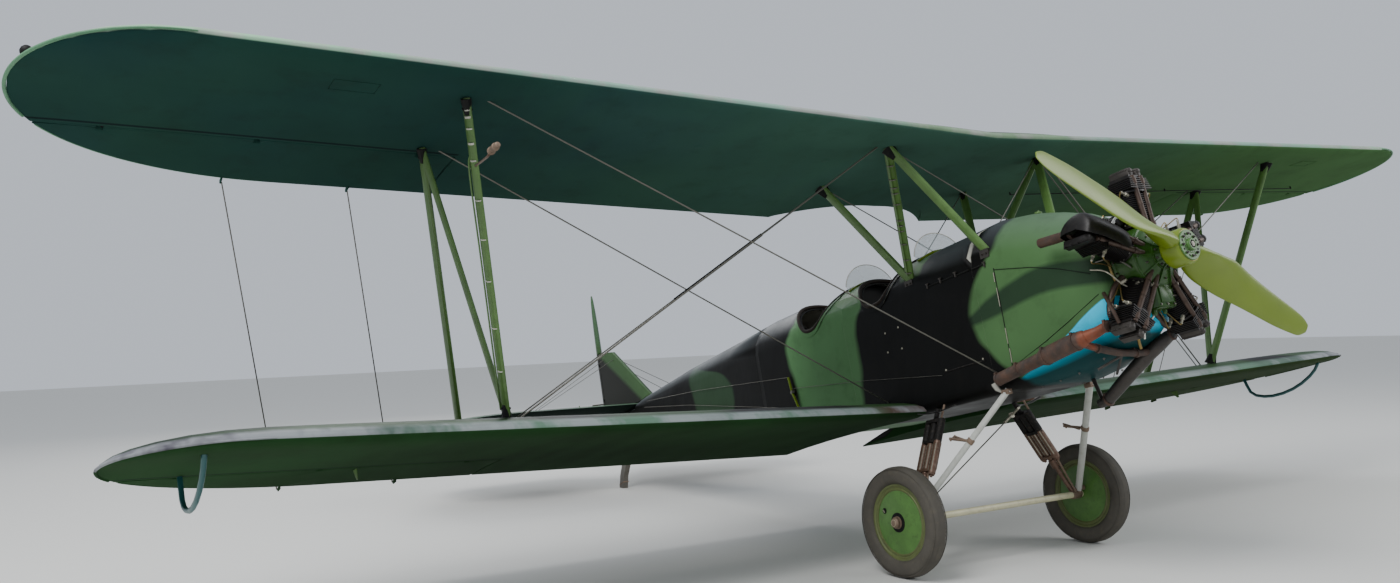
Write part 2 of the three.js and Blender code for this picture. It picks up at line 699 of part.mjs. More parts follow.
function tailParts(fuselage) {
  const { hinge, z, half, trail } = TAILPLANE;
  const whole = tailOutline();
  const rod = (from, to, radius) => bar([from, hinge, z], [to, hinge, z], 2 * radius, 2 * radius, 14);
  const wide = half + 100;
  const behind = (from) => box([from, hinge, z - 200], [wide, trail + 100, z + 200]);
  let fixed = cut(whole, rod(-wide, wide, TAIL_NOSE + RUNNING), behind(-wide));
  const inner = 78;
  const end = trail + 60;
  const flare = planPlate([
    [inner, hinge - 60], [wide, hinge - 60], [wide, end], [inner + 0.63 * (end - hinge), end],
    [inner, hinge + 4],
  ], z - 150, z + 150);
  const region = join(rod(inner, wide, TAIL_NOSE), behind(inner));
  let moving = common(common(whole, region), flare);
  for (const x of TAIL_HINGES) {
    const slot = box([x - 18, hinge - 60, z - 100], [x + 18, hinge + 20, z + 100]);
    const pin = bar([x - 34, hinge, z], [x + 34, hinge, z], 12, 12, 8);
    moving = join(cut(moving, slot), pin);
    for (const side of [-1, 1]) {
      fixed = join(fixed, box(
        [side * x - 12, hinge - 80, z - 7],
        [side * x + 12, hinge - HINGE_PIN - GAP, z + 7],
      ));
    }
  }
  const stay = bar([1150, 6800, z - 4], [60, 6800, -10], 46, 24);
  const stays = [stay, mirror(stay)].map((piece, i) => seat(piece, fuselage, [i ? -1 : 1, 0, 0]));
  return { fixed: join(fixed, ...stays), moving };
}

// Hoop under each lower wing tip, in the plane of its own span station
function hoop(panel) {
  const x = 4900;
  const curve = new THREE.CatmullRomCurve3([
    new THREE.Vector3(x, 2215, -400), new THREE.Vector3(x, 2300, -500), new THREE.Vector3(x, 2520, -610),
    new THREE.Vector3(x, 2780, -640), new THREE.Vector3(x, 2960, -580), new THREE.Vector3(x, 3010, -430),
  ]);
  const points = curve.getPoints(12).map((point) => [...point.toArray(), 15]);
  return seat(pipe(points, 8), [panel], [0, 0, -1]);
}

// Link rods between an upper and a lower aileron, hung from lugs behind the trailing edges
const LINK_STATIONS = [4612, 3892]; // on the upper wing
const LINK_INWARD = 360; // as much further in at the lower wing
const LINK_FROM_HINGE = [572, -82]; // aft and up
const LINK_ROD = 4; // radius
const LUG = { thick: 6, radius: 12 };

function lug(hinge, x) {
  const [, y, z] = hinge.at(x);
  const [aft, up] = LINK_FROM_HINGE;
  const plate = sidePlate([
    [y + aft - 60, z + up + 18], [y + aft - 60, z + up - 4], [y + aft, z + up - LUG.radius],
    [y + aft + LUG.radius, z + up], [y + aft, z + up + LUG.radius],
  ], LUG.thick);
  return plate.translate(x, 0, 0);
}

function linkPivot(hinge, x) {
  const [, y, z] = hinge.at(x);
  return [x, y + LINK_FROM_HINGE[0], z + LINK_FROM_HINGE[1]];
}

function linkRod(upperHinge, lowerHinge, x) {
  const beside = LUG.thick / 2 + LINK_ROD + 0.7;
  const top = linkPivot(upperHinge, x);
  const foot = linkPivot(lowerHinge, x - LINK_INWARD);
  top[0] -= beside;
  foot[0] += beside;
  return bar(top, foot, 2 * LINK_ROD, 2 * LINK_ROD, 8);
}

// Assembly
const aircraft = new THREE.Group();
const level = new THREE.Group();
level.rotation.x = -GROUND_ANGLE;
aircraft.add(level);

// Puts in a piece that is drawn in its place in the level frame
function add(name, slot, geometry) {
  const mesh = new THREE.Mesh(geometry, materials[slot]);
  mesh.name = name;
  level.add(mesh);
}

const SIDES = [["left", (geometry) => geometry], ["right", mirror]];

function addBoth(name, slot, geometry) {
  for (const [side, placed] of SIDES) add(`${name}_${side}`, slot, placed(geometry));
}

// Body
const noseCowl = fuselageBetween(FUSELAGE[0][0], NOSE_END);
const rearBody = fuselageBetween(REAR_START, STERN);
const outerBody = [noseCowl, fuselageBetween(NOSE_END, REAR_START), rearBody];
const halfGap = GAP / 2;
add("nose_cowl", "camouflage", noseCowl);
add("fuselage_forward", "camouflage", hollowPart(NOSE_END + GAP, MIDDLE_END - halfGap, COCKPITS.front));
add("fuselage_middle", "camouflage", hollowPart(MIDDLE_END + halfGap, REAR_START - GAP, COCKPITS.rear));
add("fuselage_rear", "camouflage", rearBody);
for (const [place, cockpit] of Object.entries(COCKPITS)) {
  add(`seat_${place}`, "leather", seatShape(cockpit));
  add(`instrument_panel_${place}`, "dark", instrumentPanel(cockpit.y - cockpit.length - 36));
  add(`windscreen_${place}`, "glass", windscreen(SCREENS[place], outerBody));
}

// Engine and propeller
const crank = crankcase();
add("engine_crankcase", "engine_green", crank);
const cylinders = Array.from({ length: CYLINDERS }, (_, number) => engineCylinder(number, crank));
cylinders.forEach((cylinder, number) => add(`engine_cylinder_${number + 1}`, "engine_black", cylinder));
const trunk = seat(join(pipe(TRUNK), pipe(TRUNK_BRACE)), outerBody, [0, 0, -1]);
add("exhaust_collector", "rusty_pipe", join(pipe(COLLECTOR), seat(pipe(CROSS_PIPE), [trunk], [-1, 0, 0])));
add("exhaust_stub", "rusty_pipe", pipe(UPPER_STUB));
add("lower_trunk", "engine_black", trunk);
add("propeller", "propeller_green", propeller());

// Wings and ailerons
const centre = centreSection();
const upperPanel = wingPanel({ ...UPPER, root: UPPER.root + GAP });
const upper = splitAileron(upperPanel, UPPER, AILERON_INNER.upper, AILERON_OUTER.upper);
const lower = splitAileron(wingPanel(LOWER), LOWER, AILERON_INNER.lower, AILERON_OUTER.lower);
const upperLugs = LINK_STATIONS.map((x) => lug(upper.hinge, x));
const lowerLugs = LINK_STATIONS.map((x) => lug(lower.hinge, x - LINK_INWARD));
add("upper_wing_centre", "wing_green", centre);
addBoth("upper_wing", "wing_green", upper.fixed);
addBoth("lower_wing", "wing_green", lower.fixed);
addBoth("aileron_upper", "wing_green", join(upper.moving, ...upperLugs));
addBoth("aileron_lower", "wing_green", join(lower.moving, ...lowerLugs));
LINK_STATIONS.forEach((x, i) => {
  addBoth(`aileron_link_${i ? "inner" : "outer"}`, "steel", linkRod(upper.hinge, lower.hinge, x));
});
addBoth("wing_tip_hoop", "teal", hoop(lower.fixed));

// Struts between the wings
const sink = 8;
const upperPoint = ([x, y]) => [x, y, wingSkin(UPPER, x, y, "under") + sink];
const lowerPoint = ([x, y]) => [x, y, wingSkin(LOWER, x, y, "over") - sink];
const strut = (from, to) => bar(from, to, 72, 36, 10);
const planeStruts = join(
  strut(upperPoint(PLANE_FRONT_TOP), lowerPoint(PLANE_FRONT_FOOT)),
  strut(upperPoint(PLANE_REAR_TOP), lowerPoint(PLANE_REAR_FOOT)),
  bar(upperPoint(PLANE_REAR_TOP), lowerPoint(PLANE_FRONT_FOOT), 60, 32, 10),
);
addBoth("interplane_struts", "strut_green", seat(
  seat(planeStruts, [upper.fixed], [0, 0, -1]), [lower.fixed], [0, 0, 1],
));
const cabaneStruts = join(
  strut(upperPoint(CABANE_FRONT_TOP), CABANE_FRONT_FOOT),
  strut(upperPoint(CABANE_FRONT_TOP), CABANE_MID_FOOT),
  strut(upperPoint(CABANE_REAR_TOP), CABANE_MID_FOOT),
);
addBoth("cabane_struts", "strut_green", seat(
  seat(cabaneStruts, [centre], [0, 0, -1]), outerBody, [0.4, 0, 1],
));

// Main bracing
const WIRES = {
  // name: [from, to, diameter]
  flying_wire_front: [upperPoint([3520, 1493]), [384, 1262, -462], 9],
  flying_wire_rear: [upperPoint([3540, 2215]), [384, 2320, -450], 9],
  landing_wire: [upperPoint([790, 1500]), lowerPoint([3200, 2290]), 12],
};
for (const [name, [from, to, diameter]] of Object.entries(WIRES)) {
  const wire = seat(bar(from, to, diameter, diameter, 6), [upper.fixed, centre], [0, 0, -1]);
  addBoth(name, "steel", seat(seat(wire, [lower.fixed], [0, 0, 1]), outerBody, [1, 0, 0]));
}

// Undercarriage
const axleBar = axle();
add("axle", "grey_paint", axleBar);
addBoth("gear_leg_front", "grey_paint", frontLeg(outerBody, axleBar));
addBoth("gear_leg_shock", "shock_black", shockLeg(outerBody, axleBar));
addBoth("tyre", "tyre", tyre().translate(WHEEL.x, AXLE.y, AXLE.z));
addBoth("wheel_disc", "strut_green", wheelDisc().translate(WHEEL.x, AXLE.y, AXLE.z));
add("tail_skid", "steel", tailSkid(outerBody));

// Tail
const tail = tailParts(outerBody);
add("tailplane", "wing_green", tail.fixed);
add("elevator_left", "wing_green", tail.moving);
add("elevator_right", "wing_green", mirror(tail.moving));
add("fin", "camouflage", finWithHinges(outerBody));
add("rudder", "camouflage", rudder().rotateZ(RUDDER_REST).translate(0, FIN_AXIS, 0));

// The origin is on the ground, below the middle of the whole
aircraft.updateMatrixWorld(true);
const extent = new THREE.Box3().setFromObject(level, true);
const middle = extent.getCenter(new THREE.Vector3());
level.position.set(-middle.x, -middle.y, -extent.min.z);

export default aircraft;
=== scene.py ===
# The looks of a two-seat training biplane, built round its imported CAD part.
# Places are given level, in metres from the propeller hub: x to the aeroplane's left, y aft, z up.
# level() turns them into the row frame, where the aeroplane stands tail down.
import json
import math

import bpy
import bmesh
from mathutils import Matrix, Vector

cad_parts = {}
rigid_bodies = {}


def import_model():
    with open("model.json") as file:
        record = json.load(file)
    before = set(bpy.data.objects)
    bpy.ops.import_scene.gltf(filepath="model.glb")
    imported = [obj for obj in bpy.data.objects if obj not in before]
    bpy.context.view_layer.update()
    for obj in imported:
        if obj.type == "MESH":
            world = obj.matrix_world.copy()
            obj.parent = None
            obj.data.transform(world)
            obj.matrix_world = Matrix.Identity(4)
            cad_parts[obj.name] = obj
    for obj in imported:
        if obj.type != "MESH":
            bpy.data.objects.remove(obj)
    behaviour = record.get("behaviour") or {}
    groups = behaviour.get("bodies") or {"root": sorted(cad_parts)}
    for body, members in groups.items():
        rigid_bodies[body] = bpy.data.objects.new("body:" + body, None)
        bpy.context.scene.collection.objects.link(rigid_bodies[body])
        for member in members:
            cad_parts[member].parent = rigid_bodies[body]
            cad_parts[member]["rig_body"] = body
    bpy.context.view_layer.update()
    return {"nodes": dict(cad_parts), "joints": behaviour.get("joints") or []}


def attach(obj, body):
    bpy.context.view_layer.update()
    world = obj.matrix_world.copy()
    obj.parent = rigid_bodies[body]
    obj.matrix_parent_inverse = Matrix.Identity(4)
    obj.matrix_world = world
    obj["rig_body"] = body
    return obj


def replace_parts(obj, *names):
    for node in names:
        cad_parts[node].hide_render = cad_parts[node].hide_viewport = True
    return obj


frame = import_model()
NODES = frame["nodes"]
JOINTS = {joint["name"]: joint for joint in frame["joints"]}

# The level frame
HUB = Vector(JOINTS["propeller_spin"]["pos_m"])
AFT = Vector(JOINTS["propeller_spin"]["axis"]).normalized()
LEFT = Vector((1, 0, 0))
UP = LEFT.cross(AFT)
SIDES = {"left": 1, "right": -1}


def level(point):
    return HUB + LEFT * point[0] + AFT * point[1] + UP * point[2]


# Wings, as in the CAD part
CHORD = 1.65
THICKNESS = 0.088
CAMBER = 0.04
CAMBER_AT = 0.4
DIHEDRAL = 0.038
TIP_FRONT = 0.71  # span and chord of the leading edge's quarter ellipse
TIP_REAR = (1.31, 0.94)  # span and chord of the trailing edge's
TIP_BULGE = 0.012  # how far both ellipses reach past the tip
HINGE_BACK = 1.114  # of the ailerons, behind the leading edge
# "gap" is the slot ahead of the hinged surfaces: its place aft and its inner end
UPPER = {"lead": 1.186, "z": 1.130, "slope": 0.0388, "tip": 5.7, "gap": (2.245, 3.40)}
LOWER = {"lead": 1.955, "z": -0.585, "slope": 0.028, "tip": 5.325, "gap": (3.014, 3.01)}
TAIL = {"lead": 6.4, "tip": 2.05, "gap": (7.105, 0.15)}
TAIL_HINGE = (7.130, 0.300)  # of the elevators: aft, height
RUDDER_AXIS = 7.2
RUDDER_REST = math.radians(-28)
AXLE = (1.858, -1.270)
WHEEL_X = 0.870
CYLINDER_PLANE = 0.312
CYLINDERS = 5
PROP_PLANE = 0.075
PROP_ANGLE = math.radians(27.3)

FUSELAGE = [
    # aft, half width, bottom, top of the flat side, top of the decking
    (0.400, 0.262, -0.375, -0.060, 0.228), (0.432, 0.318, -0.432, -0.040, 0.285),
    (0.600, 0.348, -0.522, 0.040, 0.385), (0.800, 0.370, -0.568, 0.110, 0.462),
    (1.000, 0.384, -0.585, 0.165, 0.522), (1.200, 0.390, -0.585, 0.200, 0.553),
    (1.400, 0.392, -0.585, 0.222, 0.545), (2.000, 0.392, -0.585, 0.230, 0.530),
    (2.900, 0.392, -0.560, 0.230, 0.524), (3.300, 0.388, -0.530, 0.230, 0.530),
    (3.800, 0.360, -0.478, 0.230, 0.526), (4.400, 0.310, -0.385, 0.232, 0.484),
    (5.300, 0.225, -0.245, 0.236, 0.434), (6.200, 0.140, -0.095, 0.240, 0.352),
    (7.160, 0.046, 0.060, 0.240, 0.264),
]
COCKPITS = {
    "front": {"y": 2.280, "length": 0.325, "width": 0.415},
    "rear": {"y": 3.045, "length": 0.345, "width": 0.405},
}
RIM_HEIGHT = 0.250
RIM_POINTS = 120
SCREENS = {"front": 1.851, "rear": 2.624}


def wing_heights(part):
    """Heights of top and underside over the chord line, at a share of the chord."""
    part = max(part, 1e-6)
    half = 5 * THICKNESS * (
        0.2969 * math.sqrt(part) - 0.126 * part - 0.3516 * part**2 + 0.2843 * part**3 - 0.1015 * part**4
    )
    if part < CAMBER_AT:
        rise = CAMBER / CAMBER_AT**2 * (2 * CAMBER_AT * part - part**2)
    else:
        rise = CAMBER / (1 - CAMBER_AT) ** 2 * (1 - 2 * CAMBER_AT + 2 * CAMBER_AT * part - part**2)
    return rise + half, rise - half


def plane_height(wing, x, y):
    """Height of the wing's chord line."""
    return wing["z"] + DIHEDRAL * abs(x) - wing["slope"] * (y - wing["lead"])


def wing_skin(wing, x, y, over):
    """Height of the top or the underside."""
    heights = wing_heights((y - wing["lead"]) / CHORD)
    return plane_height(wing, x, y) + CHORD * heights[0 if over else 1]


def under(x, y):
    """A place on the underside of the upper wing."""
    return Vector((x, y, wing_skin(UPPER, x, y, False)))


def above(x, y):
    """A place on the top of the lower wing."""
    return Vector((x, y, wing_skin(LOWER, x, y, True)))


def station(y):
    """The fuselage's row of sizes at a place between its stations."""
    for low, high in zip(FUSELAGE, FUSELAGE[1:]):
        if low[0] <= y <= high[0]:
            part = (y - low[0]) / (high[0] - low[0])
            return [a + part * (b - a) for a, b in zip(low, high)]
    return list(FUSELAGE[-1])


def deck(x, y):
    """Height of the rounded decking, flat-sided above 72 degrees like the CAD part."""
    _, half, _, side, top = station(y)
    part = min(1, abs(x) / half)
    edge = math.cos(math.radians(72))
    if part < edge:
        rim = math.sin(math.radians(72))
        return side + (top - side) * (rim + (1 - rim) * (1 - part / edge))
    return side + (top - side) * math.sqrt(1 - part**2)


def on_side(side, y, z, out=0.0):
    """A place on the flat side of the fuselage, or a little out from it."""
    return Vector((side * (station(y)[1] + out), y, z))


# Materials
def linear(color):
    channels = [int(color[i : i + 2], 16) / 255 for i in (1, 3, 5)]
    return tuple(c / 12.92 if c <= 0.04045 else ((c + 0.055) / 1.055) ** 2.4 for c in channels) + (1.0,)


class Value:
    """A node's output, which plain arithmetic works on."""

    def __init__(self, paint, socket):
        self.paint = paint
        self.socket = socket

    def __add__(self, other):
        return self.paint.math("ADD", self, other)

    def __sub__(self, other):
        return self.paint.math("SUBTRACT", self, other)

    def __rsub__(self, other):
        return self.paint.math("SUBTRACT", other, self)

    def __mul__(self, other):
        return self.paint.math("MULTIPLY", self, other)

    def __truediv__(self, other):
        return self.paint.math("DIVIDE", self, other)


class Paint:
    """A material's node tree, with its principled shader."""

    # The mix node's sockets for colours
    FACTOR, COLOR_A, COLOR_B, COLOR_OUT = 0, 6, 7, 2

    def __init__(self, name, color, roughness=0.5, metallic=0.0, specular=0.5):
        self.material = bpy.data.materials.new(name)
        self.material.use_nodes = True
        self.tree = self.material.node_tree
        self.shader = self.tree.nodes["Principled BSDF"]
        self.set("Base Color", color)
        self.set("Roughness", roughness)
        self.set("Metallic", metallic)
        self.set("Specular IOR Level", specular)

    def put(self, socket, value):
        """Links a value into a socket, or sets a constant."""
        if isinstance(value, Value):
            self.tree.links.new(value.socket, socket)
        else:
            socket.default_value = linear(value) if isinstance(value, str) else value

    def set(self, name, value):
        self.put(self.shader.inputs[name], value)

    def node(self, kind, inputs, output=0, **settings):
        """Adds a node and gives one of its outputs."""
        node = self.tree.nodes.new("ShaderNode" + kind)
        for key, value in settings.items():
            setattr(node, key, value)
        for key, value in inputs.items():
            self.put(node.inputs[key], value)
        return Value(self, node.outputs[output])

    def math(self, operation, a, b=0.0, clamp=False):
        return self.node("Math", {0: a, 1: b}, operation=operation, use_clamp=clamp)

    def along_axes(self, vector):
        """How far a vector reaches left, aft and up."""
        return [
            self.node("VectorMath", {0: vector, 1: axis}, "Value", operation="DOT_PRODUCT")
            for axis in (LEFT, AFT, UP)
        ]

    def places(self):
        """x, y and z in the level frame, fixed to the piece."""
        place = self.node("TexCoord", {}, "Object")
        return self.along_axes(self.node("VectorMath", {0: place, 1: HUB}, operation="SUBTRACT"))

    def facing(self):
        """How far the surface faces left, aft and up."""
        return self.along_axes(self.node("NewGeometry", {}, "Normal"))

    def facing_up(self, sharpness=9.0, start=0.25):
        """1 where the surface faces up, 0 where it faces down."""
        return self.math("MULTIPLY", self.facing()[2] - start, sharpness, clamp=True)

    def noise(self, scale, detail=3.0, roughness=0.55, stretch=(1, 1, 1)):
        place = self.node("TexCoord", {}, "Object")
        place = self.node("Mapping", {"Vector": place, "Scale": stretch})
        inputs = {"Vector": place, "Scale": scale, "Detail": detail, "Roughness": roughness}
        return self.node("TexNoise", inputs, "Fac")

    def ramp(self, factor, stops, interpolation="LINEAR"):
        """A colour or grey along (place, colour) stops."""
        node = self.tree.nodes.new("ShaderNodeValToRGB")
        self.put(node.inputs["Fac"], factor)
        node.color_ramp.interpolation = interpolation
        elements = node.color_ramp.elements
        while len(elements) < len(stops):
            elements.new(0.5)
        for element, (place, color) in zip(elements, stops):
            element.position = place
            element.color = linear(color) if isinstance(color, str) else (color, color, color, 1.0)
        return Value(self, node.outputs["Color"])

    def line(self, along, points, low, high):
        """A value that follows (along, value) points, for along from low to high."""
        values = [value for _, value in points]
        least, span = min(values), max(values) - min(values)
        stops = [((place - low) / (high - low), (value - least) / span) for place, value in points]
        height = self.ramp((along - low) / (high - low), stops, "B_SPLINE" if len(stops) > 4 else "LINEAR")
        return height * span + least

    def past(self, value, edge, softness):
        """0 to 1 as a value goes past an edge."""
        return self.math("ADD", (value - edge) / softness, 0.5, clamp=True)

    def mix(self, factor, a, b, blend="MIX"):
        inputs = {self.FACTOR: factor, self.COLOR_A: a, self.COLOR_B: b}
        return self.node("Mix", inputs, self.COLOR_OUT, data_type="RGBA", blend_type=blend)

    def bump(self, height, strength, distance=0.01):
        relief = self.node("Bump", {"Height": height, "Strength": strength, "Distance": distance})
        self.set("Normal", relief)

    def wear(self, base, amount, scale, dirt="#2a2419", dirt_amount=0.35):
        """Uneven colour: slow changes of shade, and dirt in patches."""
        shade = self.ramp(self.noise(scale, 4.0), [(0.3, 1.0 - amount), (0.7, 1.0)])
        worn = self.mix(1.0, base, shade, "MULTIPLY")
        patches = self.ramp(self.noise(scale * 3.1, 6.0, 0.65), [(0.52, 0.0), (0.78, dirt_amount)])
        self.set("Base Color", self.mix(patches, worn, dirt))


GREEN = "#4c6e44"
BRIGHT_GREEN = "#5c8957"
DARK_GREEN = "#283f29"
WING_GREEN = "#34512e"
BLACK = "#0c0c0b"
NOSE_EDGE = [
    # the green nose's aft edge: height, aft
    (-0.52, 1.08), (-0.40, 1.227), (-0.24, 1.357), (-0.06, 1.415), (0.092, 1.358), (0.22, 1.21),
    (0.32, 1.115), (0.52, 1.09),
]
BAND_EDGES = [
    # the other edges from nose to tail, with the colour behind each: (height, aft) points
    (BRIGHT_GREEN, [
        (-0.38, 2.585), (-0.20, 2.533), (0.04, 2.545), (0.18, 2.511), (0.28, 2.43), (0.45, 2.32),
    ]),
    (BLACK, [(-0.30, 3.325), (-0.07, 3.343), (0.08, 3.386), (0.20, 3.405), (0.28, 3.36), (0.45, 3.22)]),
    (DARK_GREEN, [(-0.20, 4.40), (-0.08, 4.315), (0.06, 4.300), (0.19, 4.410), (0.27, 4.60), (0.36, 5.05)]),
    (BLACK, [(-0.15, 5.02), (-0.05, 5.035), (0.02, 5.045), (0.14, 5.072), (0.27, 5.110), (0.40, 5.12)]),
]
BAND_HEIGHTS = (-0.6, 0.6)
# A dark swath along the nose and the blue belly's edge: (aft, height) points
SWATH_LOW = [(0.40, -0.11), (0.51, -0.096), (0.67, -0.066), (0.89, -0.060), (1.15, -0.113), (1.42, -0.125)]
SWATH_HIGH = [(0.40, 0.04), (0.57, 0.075), (0.77, 0.109), (0.97, 0.078), (1.24, 0.010), (1.42, -0.08)]
SWATH_REACH = (0.35, 1.45)
BELLY_EDGE = [(0.40, -0.165), (0.655, -0.326), (0.923, -0.465), (1.139, -0.535), (1.45, -0.60)]
BELLY_REACH = (0.35, 1.5)
SCREEN_PATCHES = [(1.80, 2.00), (2.46, 2.78)]
COCKPIT_REACH = (1.30, 3.50)


def camouflage():
    """Soft-edged green and black bands along the body, over a light blue belly at the nose."""
    paint = Paint("camouflage", GREEN, specular=0.10)
    past, mix, line = paint.past, paint.mix, paint.line
    x, y, z = paint.places()
    along = y + (paint.noise(5.0, 1.0, 0.4) - 0.5) * 0.05
    swath = past(z, line(y, SWATH_LOW, *SWATH_REACH), 0.03) * past(line(y, SWATH_HIGH, *SWATH_REACH), z, 0.03)
    body = mix(swath, GREEN, "#2a3f2c")
    # Blue belly at the nose, with painted light and shade: bright cyan where it faces sideways, as if sunlit,
    # and painted shade where it faces down
    below = past(line(y, BELLY_EDGE, *BELLY_REACH), z, 0.008)
    body = mix(below, body, mix(paint.facing_up(2.5, -0.75), "#0b3c3e", "#20d4fb"))
    # Bands
    body = mix(past(along, line(z, NOSE_EDGE, *BAND_HEIGHTS), 0.045), body, BLACK)
    for color, points in BAND_EDGES:
        body = mix(past(along, line(z, points, *BAND_HEIGHTS), 0.05), body, color)
    # Fresh green round the windscreens, and a painted sky reflection on the decking where it faces up,
    # stronger aft
    for low, high in SCREEN_PATCHES:
        patch = past(along, low, 0.04) * past(high, along, 0.04) * past(z, 0.36, 0.06)
        body = mix(patch, body, "#4f8436")
    # painted reflection: grey-blue sky sheen where the decking faces up
    painted_sky_sheen = paint.facing_up(1.5, 0.3) * paint.ramp(past(y, 1.4, 1.0), [(0, 0.2), (1, 0.34)])
    body = mix(painted_sky_sheen, body, "#8b949a")
    # Grey paint inside the cockpits: on what faces the middle, and on both end walls
    faces_left, faces_aft, faces_up = paint.facing()
    first, last = COCKPIT_REACH
    ends = past(paint.math("ABSOLUTE", faces_aft), 0.8, 0.1) * (past(y, first, 0.02) * past(last, y, 0.02))
    inner = paint.math("MAXIMUM", past(-0.10, x * faces_left + z * faces_up, 0.08), ends)
    paint.wear(mix(inner, body, "#c4c2b6"), 0.18, 1.6, "#1d1a15", 0.28)
    paint.set("Roughness", paint.ramp(paint.noise(2.4, 4.0), [(0.3, 0.34), (0.7, 0.52)]))
    paint.bump(paint.noise(3.0, 2.0, 0.5, (1, 2.2, 1)), 0.15, 0.02)
    return paint.material


FIN_LEAD = (6.235, 0.372)  # foot of the fin's leading edge: aft, height
FIN_AWAY = (0.653, -0.757)  # direction square to that edge, backwards and down


def fin_paint():
    """Dark fin and rudder, with a green band behind the fin's leading edge and a green rudder top."""
    paint = Paint("fin_paint", BLACK, specular=0.22)
    _, y, z = paint.places()
    behind = y * FIN_AWAY[0] + z * FIN_AWAY[1]
    lead = FIN_LEAD[0] * FIN_AWAY[0] + FIN_LEAD[1] * FIN_AWAY[1]
    body = paint.mix(paint.past(z * 0.06 + (lead + 0.10), behind, 0.05), "#1c1d16", "#405c38")
    top = paint.past(z + paint.noise(2.2, 1.0) * 0.5, 1.35, 0.06)
    paint.wear(paint.mix(top, body, "#446343"), 0.2, 2.0, "#1d1a15", 0.25)
    return paint.material


# Leading-edge bands: partly a painted highlight on the sunlit nose, partly rubbed paint
UPPER_NOSE = {
    # depth aft of the edge, how far under it reaches, width of what shows at any angle,
    # colours at the root, further out and near the tip, and where it is rubbed
    "depth": 0.05, "facing": -0.3, "wrap": 0.009,
    "colors": ("#7f9a7c", "#8fb0a0", "#93bd9d"), "rubbed": "#a8a6a2",
}
LOWER_NOSE = {
    "depth": 0.07, "facing": -0.35, "wrap": 0.0,
    "colors": ("#5b463b", "#6c8b77", "#55525c"), "rubbed": "#a9adb0",
}
TAIL_NOSE = {
    "depth": 0.03, "facing": -0.35, "wrap": 0.0,
    "colors": ("#56705d", "#56705d", "#56705d"), "rubbed": "#66786c",
}
RIB_SPACING = 0.30
SPAN_SCALE = 6.0  # spanwise colour changes are given as shares of this reach


def wing_paint(name, wing, beneath, streak, inboard_painted_light, port, nose):
    """Doped fabric: dark below with chordwise brush strokes, green and black on top, a nose that is worn and
    carries a painted highlight.
    """
    paint = Paint(name, beneath, specular=0.07)
    past, mix, ramp, noise = paint.past, paint.mix, paint.ramp, paint.noise
    x, y, _ = paint.places()
    reach = paint.math("ABSOLUTE", x)
    strokes = noise(1.0, 4.0, 0.6, (5.0, 0.9, 1.0))
    base = mix(ramp(noise(0.45, 2.0, 0.5), [(0.35, 0.0), (0.65, 1.0)]), beneath, streak)
    base = mix(ramp(strokes, [(0.40, 0.0), (0.75, 0.5)]), base, streak)
    # Painted light: a lighter tone towards the middle of the span, lifting the shade there
    base = mix(ramp(reach / SPAN_SCALE, [(0.15, 0.45), (0.6, 0.0)]), base, inboard_painted_light)
    base = mix(ramp(x / SPAN_SCALE, [(0.06, 0.0), (0.5, 1.0)]), base, port)
    # Painted shadow: a dark line in the gap ahead of the hinged surfaces
    gap_y, inner_end = wing["gap"]
    gap = past(y, gap_y - 0.010, 0.008) * past(gap_y + 0.010, y, 0.008) * past(reach, inner_end, 0.01)
    base = mix(gap * 0.75, base, "#071018")
    patches = ramp(
        noise(0.55, 1.5, 0.4, (1.0, 0.7, 1.0)),
        [(0.46, WING_GREEN), (0.49, BLACK), (0.58, BLACK), (0.61, WING_GREEN)],
    )
    base = mix(paint.facing_up(), base, patches)
    # Nose along the straight leading edge and round the tip: a painted highlight where it faces forward and
    # up, as if sunlit, with rubbed pale wear
    tip = (reach - (wing["tip"] - TIP_FRONT)) / (TIP_FRONT + TIP_BULGE)
    tip = paint.math("MINIMUM", paint.math("MAXIMUM", tip, 0.0), 1.0)
    lead = (wing["lead"] + TIP_FRONT) - paint.math("SQRT", 1.0 - tip * tip) * TIP_FRONT
    # painted highlight where the nose faces forward and up, and a thin band that shows at any angle
    front = past(lead + nose["depth"], y, 0.05) * paint.facing_up(7.0, nose["facing"])
    front = paint.math("MAXIMUM", front, past(lead + nose["wrap"], y, 0.006))
    root, inner, outer = nose["colors"]
    tone = ramp(reach / SPAN_SCALE, [(0.11, root), (0.16, inner), (0.55, inner), (0.80, outer)])
    rubbed = ramp(noise(2.6, 4.0, 0.65, (1.0, 0.5, 0.5)), [(0.45, 0.0), (0.58, 0.75)])
    paint.wear(mix(front, base, mix(rubbed, tone, nose["rubbed"])), 0.2, 1.4, "#1b1a14", 0.25)
    paint.set("Roughness", ramp(paint.facing_up(), [(0.0, 0.95), (1.0, 0.5)]))
    # Ribs stand a little proud of the fabric
    crest = paint.math("SUBTRACT", 1.0, paint.math("PINGPONG", x, RIB_SPACING / 2) / 0.012, clamp=True)
    sag = paint.math("COSINE", x * (2 * math.pi / RIB_SPACING))
    paint.bump(crest * 0.2 + sag * 0.5, 0.25, 0.005)
    return paint.material


def glass():
    paint = Paint("glass", "#e9f2f2", 0.05, specular=0.7)
    paint.set("Alpha", 0.3)
    return paint.material


